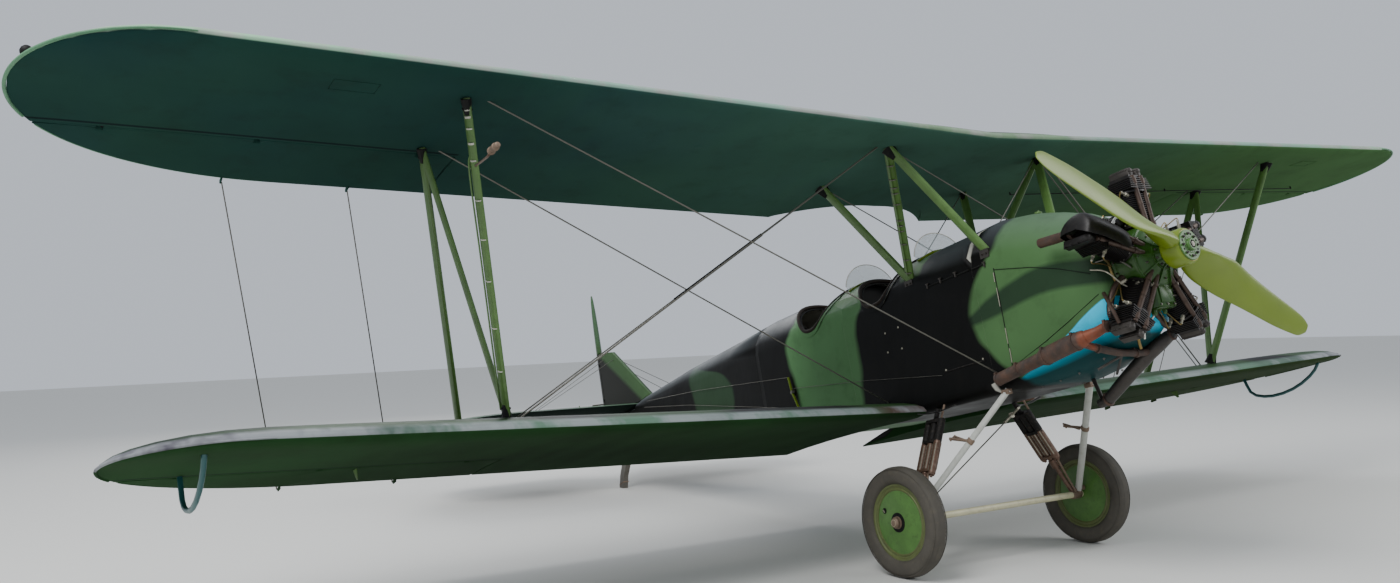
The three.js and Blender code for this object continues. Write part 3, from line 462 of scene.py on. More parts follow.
def rust():
    """Exhaust pipes: dark brown, with an orange elbow ahead of the muffler."""
    paint = Paint("rust", "#3a2f2a", 0.6, 0.3)
    past = paint.past
    x, y, z = paint.places()
    elbow = past(0.548, y, 0.02) * past(y, 0.43, 0.03) * past(-0.33, x, 0.03) * past(0.0, z, 0.1)
    spots = paint.ramp(paint.noise(16.0, 5.0, 0.65), [(0.38, 0.0), (0.66, 0.6)])
    base = paint.mix(elbow, paint.mix(spots, "#453a34", "#6c4a38"), "#85462c")
    paint.wear(base, 0.4, 11.0, "#6b5a4e", 0.30)
    paint.bump(paint.noise(90.0, 3.0), 0.2, 0.004)
    return paint.material


def plain(name, color, rough, metal, wear, scale, dirt, dirty, bump):
    paint = Paint(name, color, rough, metal, 0.5 if metal or rough < 0.5 else 0.2)
    if wear:
        paint.wear(color, wear, scale, dirt, dirty)
    if bump:
        paint.bump(paint.noise(scale * 12, 3.0), bump, 0.004)
    return paint.material


WINGS = [
    # name, wing, beneath, streak, painted light towards the middle of the span, on the left side, nose
    ("upper_wing", UPPER, "#1d3a3f", "#24463b", "#5c8770", "#44673d", UPPER_NOSE),
    ("lower_wing", LOWER, "#1b3319", "#274a28", "#1c3418", "#2d3f22", LOWER_NOSE),
    ("tail_surface", TAIL, "#141e1b", "#1c2b25", "#141e1b", "#1c2b25", TAIL_NOSE),
]
PLAIN = [
    # name, the record's slot, colour, roughness, metallic, wear, scale, dirt, dirt's share, bump
    ("strut", "strut_green", "#587b3c", 0.40, 0.0, 0.25, 9, "#262c16", 0.40, 0.05),
    ("teal", "teal", "#22595a", 0.40, 0.0, 0.20, 9, "#20403c", 0.30, 0.05),
    ("propeller", "propeller_green", "#72871c", 0.30, 0.0, 0.10, 3, "#566224", 0.20, 0.0),
    ("hub_plate", "strut_green", "#4a7436", 0.35, 0.0, 0.20, 20, "#1b2012", 0.60, 0.05),
    ("crankcase", "engine_green", "#2c5218", 0.26, 0.1, 0.25, 14, "#15170d", 0.60, 0.05),
    ("engine_black", "engine_black", "#1e1b1a", 0.42, 0.35, 0.35, 18, "#4a3f38", 0.35, 0.08),
    ("engine_brown", "engine_black", "#45403c", 0.42, 0.5, 0.30, 14, "#26211e", 0.50, 0.08),
    ("axle_paint", "grey_paint", "#cdc8a4", 0.42, 0.0, 0.20, 9, "#6b5a45", 0.45, 0.05),
    ("tube_brown", "shock_black", "#6f5546", 0.45, 0.4, 0.35, 16, "#b3a294", 0.40, 0.10),
    ("tip_green", "wing_green", "#5f8f6c", 0.50, 0.0, 0.20, 6, "#2c4a34", 0.40, 0.0),
    ("grey_paint", "grey_paint", "#b9bab2", 0.42, 0.0, 0.15, 9, "#6b5a45", 0.30, 0.05),
    ("tyre", "tyre", "#55514a", 0.70, 0.0, 0.20, 9, "#6b6353", 0.35, 0.12),
    ("wheel", "strut_green", "#517c38", 0.42, 0.0, 0.25, 12, "#2c3a1c", 0.50, 0.05),
    ("rim", "strut_green", "#626b3d", 0.50, 0.1, 0.25, 12, "#3a3524", 0.50, 0.05),
    ("steel", "steel", "#77736c", 0.35, 0.9, 0.20, 9, "#3c3128", 0.40, 0.05),
    ("pale_metal", "steel", "#a9a493", 0.35, 0.5, 0.25, 20, "#5f4f3c", 0.45, 0.05),
    ("scorched", "engine_black", "#4a3a31", 0.45, 0.45, 0.35, 20, "#85705f", 0.35, 0.10),
    ("padding", "dark", "#2b221c", 0.70, 0.0, 0.25, 22, "#4a3d33", 0.30, 0.10),
    ("rusty_steel", "steel", "#84705f", 0.60, 0.4, 0.30, 14, "#5a4030", 0.60, 0.10),
    ("bright", "steel", "#d4d2ca", 0.25, 0.9, 0.0, 9, "#3c3128", 0.0, 0.0),
    ("cable", "steel", "#6f6c64", 0.45, 0.7, 0.0, 9, "#3c3128", 0.0, 0.0),
    ("shock", "shock_black", "#1a1817", 0.62, 0.0, 0.20, 22, "#6b5f52", 0.40, 0.15),
    ("leather", "leather", "#33261e", 0.55, 0.0, 0.25, 16, "#1a130e", 0.40, 0.15),
    ("dark", "dark", "#131312", 0.60, 0.0, 0.20, 9, "#2a2419", 0.30, 0.05),
    ("white", "grey_paint", "#cfcdbf", 0.60, 0.0, 0.20, 30, "#6b6353", 0.40, 0.0),
    ("brass", "steel", "#8f7a4a", 0.35, 0.8, 0.25, 20, "#3c3128", 0.40, 0.0),
    ("wood", "propeller_green", "#6d5a34", 0.60, 0.0, 0.25, 12, "#33220f", 0.40, 0.05),
    ("cloth", "leather", "#5d5a44", 0.90, 0.0, 0.20, 30, "#2a2419", 0.30, 0.25),
]
MATERIALS = {"camouflage": camouflage(), "fin": fin_paint(), "rust": rust(), "glass": glass()}
for name, *looks in WINGS:
    MATERIALS[name] = wing_paint(name, *looks)
for name, slot, *looks in PLAIN:
    MATERIALS[name] = plain(name, *looks)


# Building pieces
def add_object(name, data):
    obj = bpy.data.objects.new(name, data)
    bpy.context.scene.collection.objects.link(obj)
    return obj


def finish_piece(obj, finish, body, angle):
    """Gives a piece its material, shading and body."""
    obj.data.materials.append(MATERIALS[finish])
    obj.data.polygons.foreach_set("use_smooth", [True] * len(obj.data.polygons))
    obj.data.set_sharp_from_angle(angle=math.radians(angle))
    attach(obj, body)
    return obj


def soften(obj, width):
    """Rounds the sharp edges."""
    work = bmesh.new()
    work.from_mesh(obj.data)
    edges = [e for e in work.edges if len(e.link_faces) == 2 and e.calc_face_angle(0) > math.radians(35)]
    bmesh.ops.bevel(work, geom=edges, offset=width, segments=2, affect="EDGES", profile=0.5)
    work.to_mesh(obj.data)
    work.free()


def square_to(axis):
    """Two directions square to an axis and to each other."""
    axis = Vector(axis).normalized()
    guide = Vector((0, 0, 1)) if abs(axis.z) < 0.9 else Vector((0, 1, 0))
    side = guide.cross(axis).normalized()
    return side, axis.cross(side)


def circle(count, start=0.0):
    return [start + 2 * math.pi * k / count for k in range(count)]


class Bundle:
    """Surfaces gathered into one piece, in level places."""

    def __init__(self):
        self.points = []
        self.faces = []

    def add(self, points, faces):
        start = len(self.points)
        self.points += [Vector(p) for p in points]
        self.faces += [[start + i for i in face] for face in faces]
        return self

    def rings(self, rings, closed=False):
        """Joins rings of the same number of points."""
        count = len(rings[0])
        last = len(rings) if closed else len(rings) - 1
        faces = []
        for r in range(last):
            ahead = (r + 1) % len(rings)
            for i in range(count):
                j = (i + 1) % count
                faces.append((r * count + i, r * count + j, ahead * count + j, ahead * count + i))
        if not closed:
            faces.append(tuple(reversed(range(count))))
            faces.append(tuple(range((len(rings) - 1) * count, len(rings) * count)))
        return self.add([p for ring in rings for p in ring], faces)

    def tube(self, path, radius, sides=8, closed=False, flat=1.0):
        """A pipe along a path; radius is one number or one for each point."""
        path = [Vector(p) for p in path]
        radii = radius if isinstance(radius, (list, tuple)) else [radius] * len(path)
        count = len(path)
        side = None
        rings = []
        for i, place in enumerate(path):
            if closed:
                along = path[(i + 1) % count] - path[i - 1]
            else:
                along = path[min(i + 1, count - 1)] - path[max(i - 1, 0)]
            along.normalize()
            if side is None:
                side = square_to(along)[0]
            side = (side - along * side.dot(along)).normalized()
            over = along.cross(side)
            rings.append([
                place + side * radii[i] * math.cos(turn) + over * radii[i] * flat * math.sin(turn)
                for turn in circle(sides)
            ])
        return self.rings(rings, closed)

    def rod(self, start, end, radius, sides=8):
        return self.tube([start, end], radius, sides)

    def turned(self, place, axis, profile, sides=24, closed=False):
        """A turned shape from (radius, distance along the axis) pairs."""
        place, axis = Vector(place), Vector(axis).normalized()
        side, over = square_to(axis)
        rings = []
        for radius, along in profile:
            radius = max(radius, 1e-5)
            rings.append([
                place + axis * along + side * radius * math.cos(turn) + over * radius * math.sin(turn)
                for turn in circle(sides)
            ])
        return self.rings(rings, closed)

    def block(self, middle, size, turn=None):
        corners = [
            Vector((sx * size[0] / 2, sy * size[1] / 2, sz * size[2] / 2))
            for sx in (-1, 1) for sy in (-1, 1) for sz in (-1, 1)
        ]
        if turn is not None:
            corners = [turn @ c for c in corners]
        faces = [(0, 1, 3, 2), (4, 6, 7, 5), (0, 4, 5, 1), (2, 3, 7, 6), (0, 2, 6, 4), (1, 5, 7, 3)]
        return self.add([Vector(middle) + c for c in corners], faces)

    def plate(self, corners, thickness):
        """A flat plate with the given corners, thickened both ways."""
        corners = [Vector(c) for c in corners]
        normal = (corners[1] - corners[0]).cross(corners[2] - corners[0]).normalized() * thickness / 2
        return self.rings([[c - normal for c in corners], [c + normal for c in corners]])

    def sheet(self, rows, thickness):
        """A curved sheet through rows of places, thickened along its own normals."""
        rows = [[Vector(p) for p in row] for row in rows]
        shifts = []
        for r, row in enumerate(rows):
            up = rows[min(r + 1, len(rows) - 1)], rows[max(r - 1, 0)]
            line = []
            for c in range(len(row)):
                along = up[0][c] - up[1][c]
                across = row[min(c + 1, len(row) - 1)] - row[max(c - 1, 0)]
                line.append(along.cross(across).normalized() * thickness)
            shifts.append(line)
        sections = [
            [*row, *reversed([p + s for p, s in zip(row, line)])] for row, line in zip(rows, shifts)
        ]
        return self.rings(sections)

    def bolt(self, place, axis, radius=0.007, height=0.006):
        self.turned(place, axis, [(radius, -0.003), (radius, height)], 6)
        return self.turned(place, axis, [(radius * 0.5, height), (radius * 0.5, height * 1.8)], 6)

    def ball(self, place, radius, sides=10):
        rings = max(4, sides // 2)
        turns = [math.pi * k / rings for k in range(rings + 1)]
        profile = [(radius * math.sin(turn), -radius * math.cos(turn)) for turn in turns]
        return self.turned(place, (0, 0, 1), profile, sides)

    def done(self, name, finish, body="airframe", angle=35, bevel=0.0):
        mesh = bpy.data.meshes.new(name)
        mesh.from_pydata([level(p) for p in self.points], [], self.faces)
        work = bmesh.new()
        work.from_mesh(mesh)
        bmesh.ops.recalc_face_normals(work, faces=work.faces)
        work.to_mesh(mesh)
        work.free()
        obj = add_object(name, mesh)
        if bevel:
            soften(obj, bevel)
        return finish_piece(obj, finish, body, angle)


def between(a, b, c, d, t):
    """A value on the smooth curve from b to c, which also heeds a and d."""
    return 0.5 * (2 * b + (c - a) * t + (2 * a - 5 * b + 4 * c - d) * t**2 + (3 * b - a - 3 * c + d) * t**3)


def curve_rows(rows, steps):
    """Rows of numbers with more rows between, on smooth curves."""
    last = len(rows) - 1
    result = []
    for i in range(last):
        four = rows[max(i - 1, 0)], rows[i], rows[i + 1], rows[min(i + 2, last)]
        result += [[between(*values, k / steps) for values in zip(*four)] for k in range(steps)]
    return [*result, list(rows[-1])]


def curve(points, steps=6):
    """More points on a smooth curve through the given ones."""
    return [Vector(row) for row in curve_rows(points, steps)]


def smooth_node(node, finish, angle):
    """Stands in for a CAD node with the same shape, its facets smoothed over."""
    source = NODES[node]
    mesh = source.data.copy()
    mesh.materials.clear()
    work = bmesh.new()
    work.from_mesh(mesh)
    bmesh.ops.remove_doubles(work, verts=work.verts, dist=2e-5)
    bmesh.ops.dissolve_degenerate(work, edges=work.edges, dist=2e-5)
    work.to_mesh(mesh)
    work.free()
    obj = add_object(node + "_skin", mesh)
    finish_piece(obj, finish, source["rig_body"], angle)
    weigh = obj.modifiers.new("weigh", "WEIGHTED_NORMAL")
    weigh.keep_sharp = True
    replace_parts(obj, node)


def both(*names):
    return [f"{name}_{side_name}" for name in names for side_name in SIDES]


SMOOTHED = [
    # finish, sharp above this angle, CAD nodes
    ("camouflage", 40, ["nose_cowl", "fuselage_forward", "fuselage_middle", "fuselage_rear"]),
    ("fin", 40, ["fin", "rudder"]),
    ("upper_wing", 40, ["upper_wing_centre", *both("upper_wing", "aileron_upper")]),
    ("lower_wing", 40, both("lower_wing", "aileron_lower")),
    ("tail_surface", 40, ["tailplane", *both("elevator")]),
    ("strut", 45, both("interplane_struts", "cabane_struts")),
    ("teal", 50, both("wing_tip_hoop")),
    ("crankcase", 35, ["engine_crankcase"]),
    ("rust", 50, ["exhaust_collector", "exhaust_stub"]),
    ("engine_brown", 50, ["lower_trunk"]),
    ("steel", 30, ["tail_skid"]),
    ("glass", 40, ["windscreen_front", "windscreen_rear"]),
    ("leather", 30, ["seat_front", "seat_rear"]),
    ("dark", 30, ["instrument_panel_front", "instrument_panel_rear"]),
]
for finish, angle, nodes in SMOOTHED:
    for node in nodes:
        smooth_node(node, finish, angle)

# Thin rods keep their CAD meshes
RODS = {
    "steel": both("aileron_link_outer", "aileron_link_inner"),
    "cable": both("flying_wire_front", "flying_wire_rear", "landing_wire"),
}
for finish, nodes in RODS.items():
    for node in nodes:
        NODES[node].material_slots[0].material = MATERIALS[finish]


# Engine
FORWARD = Vector((0, -1, 0))
BACK = Vector((0, 1, 0))
ENGINE = Vector((0, CYLINDER_PLANE, 0))


class Cylinder:
    """Places on one cylinder: sideways, back and outward from the engine's middle."""

    def __init__(self, number):
        turn = 2 * math.pi * number / CYLINDERS
        self.out = Vector((math.sin(turn), 0, math.cos(turn)))
        self.across = Vector((self.out.z, 0, -self.out.x))
        self.turn = Matrix((self.across, BACK, self.out)).transposed()

    def at(self, sideways, back, outward):
        return ENGINE + self.across * sideways + BACK * back + self.out * outward


def cylinder_barrel(cylinder, name):
    """The finned barrel and head."""
    body = Bundle()
    profile = [(0.084, 0.196), (0.084, 0.214), (0.068, 0.216)]
    for k in range(14):
        foot = 0.222 + 0.0122 * k
        reach = 0.0885 - 0.004 * abs(k - 6) / 6
        profile += [(0.068, foot), (reach, foot + 0.001), (reach, foot + 0.0042), (0.068, foot + 0.0052)]
    profile += [(0.074, 0.396), (0.094, 0.400), (0.094, 0.412), (0.080, 0.416)]
    body.turned(ENGINE, cylinder.out, profile, 32)
    for k in range(6):
        size = (0.188 - 0.006 * k, 0.186 - 0.004 * k, 0.0045)
        body.block(cylinder.at(0, 0, 0.422 + 0.0125 * k), size, cylinder.turn)
    body.block(cylinder.at(0, 0, 0.462), (0.132, 0.142, 0.090), cylinder.turn)
    return body.done(name, "engine_black")


HEADS = [
    # for each cylinder: rocker boxes' distance to the side, middle and length aft, finish
    (0.036, 0.000, 0.134, "engine_brown"), (0.046, 0.020, 0.168, "engine_black"),
    (0.038, 0.004, 0.140, "engine_brown"), (0.038, 0.004, 0.140, "engine_brown"),
    (0.047, 0.030, 0.186, "engine_black"),
]


def cylinder_head(cylinder, name, aside, middle, length, finish):
    """Rocker boxes, pushrod tubes, ports and base nuts."""
    boxes, rods = Bundle(), Bundle()
    for side in (-1, 1):
        x = side * aside
        boxes.block(cylinder.at(x, middle, 0.519), (0.046, length, 0.038), cylinder.turn)
        boxes.block(cylinder.at(x, middle, 0.540), (0.051, length + 0.006, 0.006), cylinder.turn)
        boxes.block(cylinder.at(x, middle, 0.546), (0.040, length - 0.010, 0.010), cylinder.turn)
        tower = [(0.019, 0.0), (0.019, 0.036), (0.0235, 0.039), (0.0235, 0.055), (0.018, 0.063)]
        boxes.turned(cylinder.at(x, -0.054, 0.488), cylinder.out, tower, 18)
        boxes.rod(cylinder.at(x, 0.040, 0.503), cylinder.at(x, 0.092, 0.464), 0.023, 12)
        for sideways, share in ((0.020, -0.1), (0.020, 0.15), (0.020, 0.4), (0.0, 0.45)):
            place = cylinder.at(x + side * sideways, middle + share * length, 0.543)
            boxes.bolt(place, cylinder.out, 0.005, 0.004)
        foot = cylinder.at(side * 0.026, -0.092, 0.130)
        top = cylinder.at(side * (aside + 0.002), -0.072, 0.500)
        rods.rod(foot, top, 0.0155, 14)
        for part, share, radius in ((0.16, 0.05, 0.020), (0.86, 0.09, 0.0195), (0.5, 0.012, 0.018)):
            rods.rod(foot.lerp(top, part), foot.lerp(top, part + share), radius, 14)
    boxes.done(name + "_boxes", finish, bevel=0.005 if finish == "engine_black" else 0.0025)
    rods.done(name + "_pushrods", "scorched")
    nuts = Bundle()
    for turn in circle(10, math.pi / 10):
        nuts.bolt(cylinder.at(0.077 * math.cos(turn), 0.077 * math.sin(turn), 0.214), cylinder.out, 0.0065)
    nuts.done(name + "_nuts", "steel")


def plugs_and_leads(cylinder, name):
    plugs, leads = Bundle(), Bundle()
    for side in (-1, 1):
        for back in (-0.038, 0.045):
            seat = cylinder.at(side * 0.088, back, 0.392)
            point = (cylinder.across * side + cylinder.out * 0.35).normalized()
            plugs.turned(seat, point, [(0.012, -0.02), (0.012, 0.006), (0.008, 0.008), (0.007, 0.030)], 8)
            plugs.ball(seat + point * 0.034, 0.0085, 8)
            path = [
                seat + point * 0.034, seat + point * 0.052 - cylinder.out * 0.012,
                cylinder.at(side * 0.118, back * 0.5 + 0.02, 0.33), cylinder.at(side * 0.10, 0.050, 0.23),
            ]
            leads.tube(curve(path, 5), 0.0038, 6)
    plugs.done(name + "_plugs", "pale_metal")
    leads.done(name + "_leads", "brass")


COVER = [
    # distance outward, reach ahead, reach behind, reach to the side
    (0.232, 0.098, 0.094, 0.113), (0.300, 0.116, 0.108, 0.113), (0.400, 0.122, 0.122, 0.113),
    (0.480, 0.121, 0.140, 0.113), (0.550, 0.104, 0.138, 0.113), (0.574, 0.086, 0.120, 0.096),
    (0.584, 0.050, 0.070, 0.056), (0.586, 0.004, 0.006, 0.005),
]


def baffle(cylinder, name):
    """A smooth cover over the upper side and end of a side cylinder."""
    rows = []
    for outward, front, back, wide in COVER:
        row = []
        for k in range(15):
            turn = math.radians(-22 + 14.5 * k)
            reach = front if turn < math.pi / 2 else back
            row.append(cylinder.at(wide * math.sin(turn), -reach * math.cos(turn), outward))
        rows.append(row)
    rows = [list(line) for line in zip(*(curve(line, 3) for line in zip(*rows)))]
    Bundle().sheet(rows, 0.002).done(name, "engine_black", angle=60)


for number in range(CYLINDERS):
    cylinder = Cylinder(number)
    name = f"cylinder_{number + 1}"
    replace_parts(cylinder_barrel(cylinder, name), f"engine_{name}")
    cylinder_head(cylinder, name, *HEADS[number])
    plugs_and_leads(cylinder, name)
baffle(Cylinder(4), "cylinder_5_cover")

# Crankcase: ribs, bolts, sump, breather and fittings
CASE_CONE = [(0.070, 0.168), (0.092, 0.192), (0.126, 0.206), (0.160, 0.220), (0.190, 0.237)]
ribs = Bundle()
for turn in circle(10, math.pi / 10):
    way = Vector((math.sin(turn), 0, math.cos(turn)))
    side = Vector((way.z, 0, -way.x)) * 0.0035
    crest = [way * radius + BACK * (aft - 0.011) for radius, aft in CASE_CONE]
    foot = [way * radius + BACK * (aft + 0.008) for radius, aft in CASE_CONE]
    outline = [*crest, *reversed(foot)]
    ribs.rings([[p - side for p in outline], [p + side for p in outline]])
for radius, aft in ((0.092, 0.190), (0.194, 0.240)):
    outer = radius + 0.003
    profile = [(radius - 0.004, -0.006), (outer, -0.004), (outer, 0.003), (radius - 0.003, 0.006)]
    ribs.turned((0, aft, 0), FORWARD, profile, 48)
ribs.done("crankcase_ribs", "crankcase", angle=30)

case_bolts = Bundle()
RINGS = [
    # bolts, radius, aft, first turn
    (10, 0.182, 0.233, math.pi / 10), (10, 0.080, 0.180, 0.0), (20, 0.208, 0.383, 0.0),
    (5, 0.140, 0.212, math.pi / 5),
]
for count, radius, aft, start in RINGS:
    for turn in circle(count, start):
        case_bolts.bolt((radius * math.sin(turn), aft, radius * math.cos(turn)), FORWARD, 0.0065, 0.007)
for x in (-0.062, 0, 0.062):
    for z in (-0.162, -0.288):
        case_bolts.bolt((x, 0.236, z), FORWARD, 0.0065)
case_bolts.done("crankcase_bolts", "steel")

sump = Bundle()
sump.block((0, 0.233, -0.225), (0.112, 0.012, 0.104))
sump.block((0, 0.304, -0.3025), (0.140, 0.120, 0.008))
for x, drop, radius in ((-0.050, 0.030, 0.018), (0.050, 0.022, 0.014)):
    profile = [(radius, 0), (radius, drop), (radius * 0.6, drop + 0.010)]
    sump.turned((x, 0.300, -0.300), (0, 0, -1), profile, 10)
for side in SIDES.values():
    profile = [(0.026, -0.03), (0.026, 0.012), (0.016, 0.020)]
    sump.turned((side * 0.11, 0.240, 0.085), (side * 0.4, -1, 0.3), profile, 14)
sump.done("crankcase_fittings", "crankcase", bevel=0.003)

breather = Bundle()
breather.tube(curve([(0.090, 0.300, 0.165), (0.120, 0.302, 0.200), (0.128, 0.304, 0.232)]), 0.010, 10)
profile = [(0.012, 0), (0.024, 0.004), (0.024, 0.012), (0.010, 0.018)]
breather.turned((0.128, 0.304, 0.228), (0.15, 0, 1), profile, 16)
breather.done("crankcase_breather", "dark")

PIPES = [
    # name, finish, radius, places
    ("oil_pipe_side", "pale_metal", 0.0048, [
        (-0.335, 0.45, -0.020), (-0.310, 0.39, -0.040), (-0.295, 0.35, -0.075), (-0.250, 0.33, -0.130),
        (-0.205, 0.31, -0.170),
    ]),
    ("oil_pipe_top", "steel", 0.005, [
        (-0.300, 0.43, 0.020), (-0.270, 0.36, 0.020), (-0.225, 0.31, -0.010), (-0.200, 0.27, -0.060),
    ]),
    ("oil_pipe_left", "steel", 0.006, [
        (0.06, 0.235, -0.240), (0.13, 0.25, -0.220), (0.16, 0.32, -0.120), (0.20, 0.38, -0.040),
    ]),
    ("oil_return", "brass", 0.009, [
        (-0.05, 0.36, -0.300), (-0.09, 0.40, -0.360), (-0.06, 0.44, -0.440), (-0.03, 0.46, -0.500),
    ]),
    ("drain_pipe", "bright", 0.007, [
        (0.03, 0.34, -0.300), (0.00, 0.37, -0.350), (-0.05, 0.39, -0.390), (-0.03, 0.42, -0.450),
    ]),
    ("head_pipe", "scorched", 0.012, [
        (-0.300, 0.42, -0.170), (-0.345, 0.37, -0.230), (-0.370, 0.33, -0.300), (-0.355, 0.32, -0.370),
    ]),
    ("throttle_rod", "steel", 0.005, [
        (0.10, 0.40, 0.230), (0.04, 0.41, 0.290), (-0.06, 0.42, 0.300), (-0.20, 0.42, 0.220),
    ]),
]
for name, finish, radius, places in PIPES:
    Bundle().tube(curve(places), radius, 10).done(name, finish)

unions = Bundle()
for place in ((-0.245, 0.31, -0.130), (-0.185, 0.275, -0.155), (-0.11, 0.235, -0.175), (0.11, 0.235, -0.175)):
    unions.turned(place, (0, -1, 0.3), [(0.011, -0.02), (0.011, 0.010), (0.007, 0.012), (0.007, 0.022)], 8)
unions.done("oil_unions", "pale_metal")

# Ignition: a harness ring behind the cylinders, two magnetos and loops of bright wire
ring = [(0.232 * math.sin(turn), 0.392, 0.232 * math.cos(turn)) for turn in circle(40)]
Bundle().tube(ring, 0.009, 8, closed=True).done("ignition_harness", "brass")
magnetos = Bundle()
for x, z in ((-0.115, 0.245), (0.105, 0.245)):
    magnetos.turned((x, 0.330, z), BACK, [(0.024, 0), (0.034, 0.010), (0.034, 0.075), (0.028, 0.085)], 18)
magnetos.done("magnetos", "engine_black", bevel=0.002)
loops = Bundle()
for k in range(7):
    lean = 0.012 * k
    path = [
        (-0.205 + lean, 0.395, 0.165 + 0.010 * k), (-0.190 + lean * 1.6, 0.350, 0.225 + 0.006 * k),
        (-0.130 + lean, 0.325, 0.290 + 0.003 * k), (-0.090 + lean * 0.5, 0.355, 0.300 - 0.006 * k),
    ]
    loops.tube(curve(path, 5), 0.0042, 6)
loops.done("ignition_wires", "bright")

# Intake pipes from the back of the crankcase to each head
intake = Bundle()
for number in range(CYLINDERS):
    cylinder = Cylinder(number)
    path = [
        cylinder.at(0.085, 0.052, 0.17), cylinder.at(0.105, 0.080, 0.28), cylinder.at(0.080, 0.094, 0.40),
        cylinder.at(0.050, 0.070, 0.47),
    ]
    intake.tube(curve(path), 0.020, 12)
intake.done("intake_pipes", "scorched")

# Exhaust clamps, and dark discs on the pipes' ends as painted shade for their open insides
CLAMPS = [
    # place, direction, radius
    ((-0.422, 0.590, -0.413), (0, 1, -0.14), 0.057), ((-0.428, 0.822, -0.446), (0, 1, -0.14), 0.057),
    ((-0.430, 1.050, -0.478), (0, 1, -0.14), 0.043), ((-0.430, 1.225, -0.503), (0, 1, -0.14), 0.042),
    ((-0.332, 0.425, -0.364), (0, 1, 0), 0.036), ((-0.449, 0.425, 0.196), (0, 1, 0), 0.036),
    ((0.122, 0.890, -0.735), (0, 1, -0.45), 0.042), ((0.243, 0.424, -0.428), (0, 1, 0), 0.040),
    ((-0.300, 0.545, -0.470), (1, -0.2, -0.3), 0.027), ((0.0, 0.522, -0.514), (1, 0, 0), 0.027),
]
clamps = Bundle()
for place, along, radius in CLAMPS:
    profile = [(radius - 0.008, -0.010), (radius, -0.008), (radius, 0.008), (radius - 0.008, 0.010)]
    clamps.turned(place, along, profile, 24)
    clamps.block(Vector(place) + Vector((-radius * 0.6, 0, radius * 0.85)), (0.012, 0.016, 0.016))
clamps.done("exhaust_clamps", "rust")
MUFFLER = [
    # place, radius
    ((-0.405, 0.530, -0.400), 0.044), ((-0.416, 0.556, -0.408), 0.052), ((-0.428, 0.640, -0.420), 0.054),
    ((-0.428, 0.800, -0.443), 0.054), ((-0.428, 0.842, -0.449), 0.052), ((-0.428, 0.866, -0.453), 0.040),
    ((-0.430, 1.060, -0.480), 0.040), ((-0.430, 1.2362, -0.505), 0.039),
]
Bundle().tube([place for place, _ in MUFFLER], [radius for _, radius in MUFFLER], 28).done("muffler", "rust")
mouths = Bundle()
mouths.turned((-0.430, 1.2365, -0.505), (0, 1, -0.14), [(0.0335, 0), (0.0335, 0.001)], 20)
mouths.turned((-0.448, 0.6685, 0.209), (0, 1, 0.07), [(0.025, 0), (0.025, 0.001)], 20)
mouths.done("exhaust_mouths", "dark")
braces = Bundle()
for end in ((-0.20, 0.66, -0.575), (0.04, 0.72, -0.60)):
    braces.rod((-0.10, 0.55, -0.52), end, 0.008)
braces.done("pipe_braces", "engine_brown")

# Propeller: boss, twisted blades and hub plate
BLADE = [
    # distance out, chord, thickness, blade angle, shift towards the leading edge
    (0.060, 0.130, 0.104, 64, 0.000), (0.120, 0.176, 0.096, 61, -0.004), (0.200, 0.205, 0.078, 53, -0.008),
    (0.300, 0.220, 0.060, 38, -0.004), (0.420, 0.236, 0.046, 27, 0.005), (0.560, 0.216, 0.035, 20, 0.006),
    (0.720, 0.194, 0.027, 17, 0.006), (0.880, 0.176, 0.021, 15.5, 0.008), (1.020, 0.150, 0.016, 15.5, 0.014),
    (1.110, 0.118, 0.012, 16, 0.018), (1.163, 0.052, 0.008, 17, 0.028),
]
SPINDLE = Vector((0, PROP_PLANE, 0))


def blade_rings():
    rings = []
    for out, chord, thick, degrees, shift in curve_rows(BLADE, 5):
        angle = math.radians(degrees)
        ring = []
        for turn in circle(28):
            across = chord / 2 * math.cos(turn) + shift
            through = thick / 2 * math.sin(turn)
            ring.append(Vector((
                out,
                -across * math.sin(angle) - through * math.cos(angle),
                across * math.cos(angle) - through * math.sin(angle),
            )))
        rings.append(ring)
    return rings


screw = Bundle()
for half_turn in (0, math.pi):
    spin = Matrix.Rotation(PROP_ANGLE + half_turn, 3, "Y")
    screw.rings([[SPINDLE + spin @ p for p in ring] for ring in blade_rings()])
half = [(0.090, 0.064), (0.098, 0.062), (0.105, 0.054), (0.108, 0.044)]
boss = [(radius, -along) for radius, along in half] + half[::-1]
screw.turned(SPINDLE, BACK, boss, 56)
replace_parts(screw.done("propeller_blades", "propeller", "propeller", 50), "propeller")

PLATE_FACE = 0.0125


def on_plate(ahead, radius=0.0, turn=0.0):
    """A place ahead of the hub plate's back."""
    return Vector((radius * math.sin(turn), PLATE_FACE - ahead, radius * math.cos(turn)))


plate, bolts, edge, holes, nut = (Bundle() for _ in range(5))
plate.turned(on_plate(0), FORWARD, [
    (0.090, -0.002), (0.090, 0.007), (0.087, 0.0095), (0.050, 0.0095), (0.048, 0.013), (0.038, 0.013),
    (0.036, 0.024), (0.030, 0.0285), (0.024, 0.0285), (0.024, 0.020),
], 56)
for turn in circle(8):
    bolts.bolt(on_plate(0.0095, 0.066, turn), FORWARD, 0.0085, 0.008)
edge.turned(on_plate(0), FORWARD, [(0.094, -0.002), (0.094, 0.001), (0.089, 0.001)], 56)
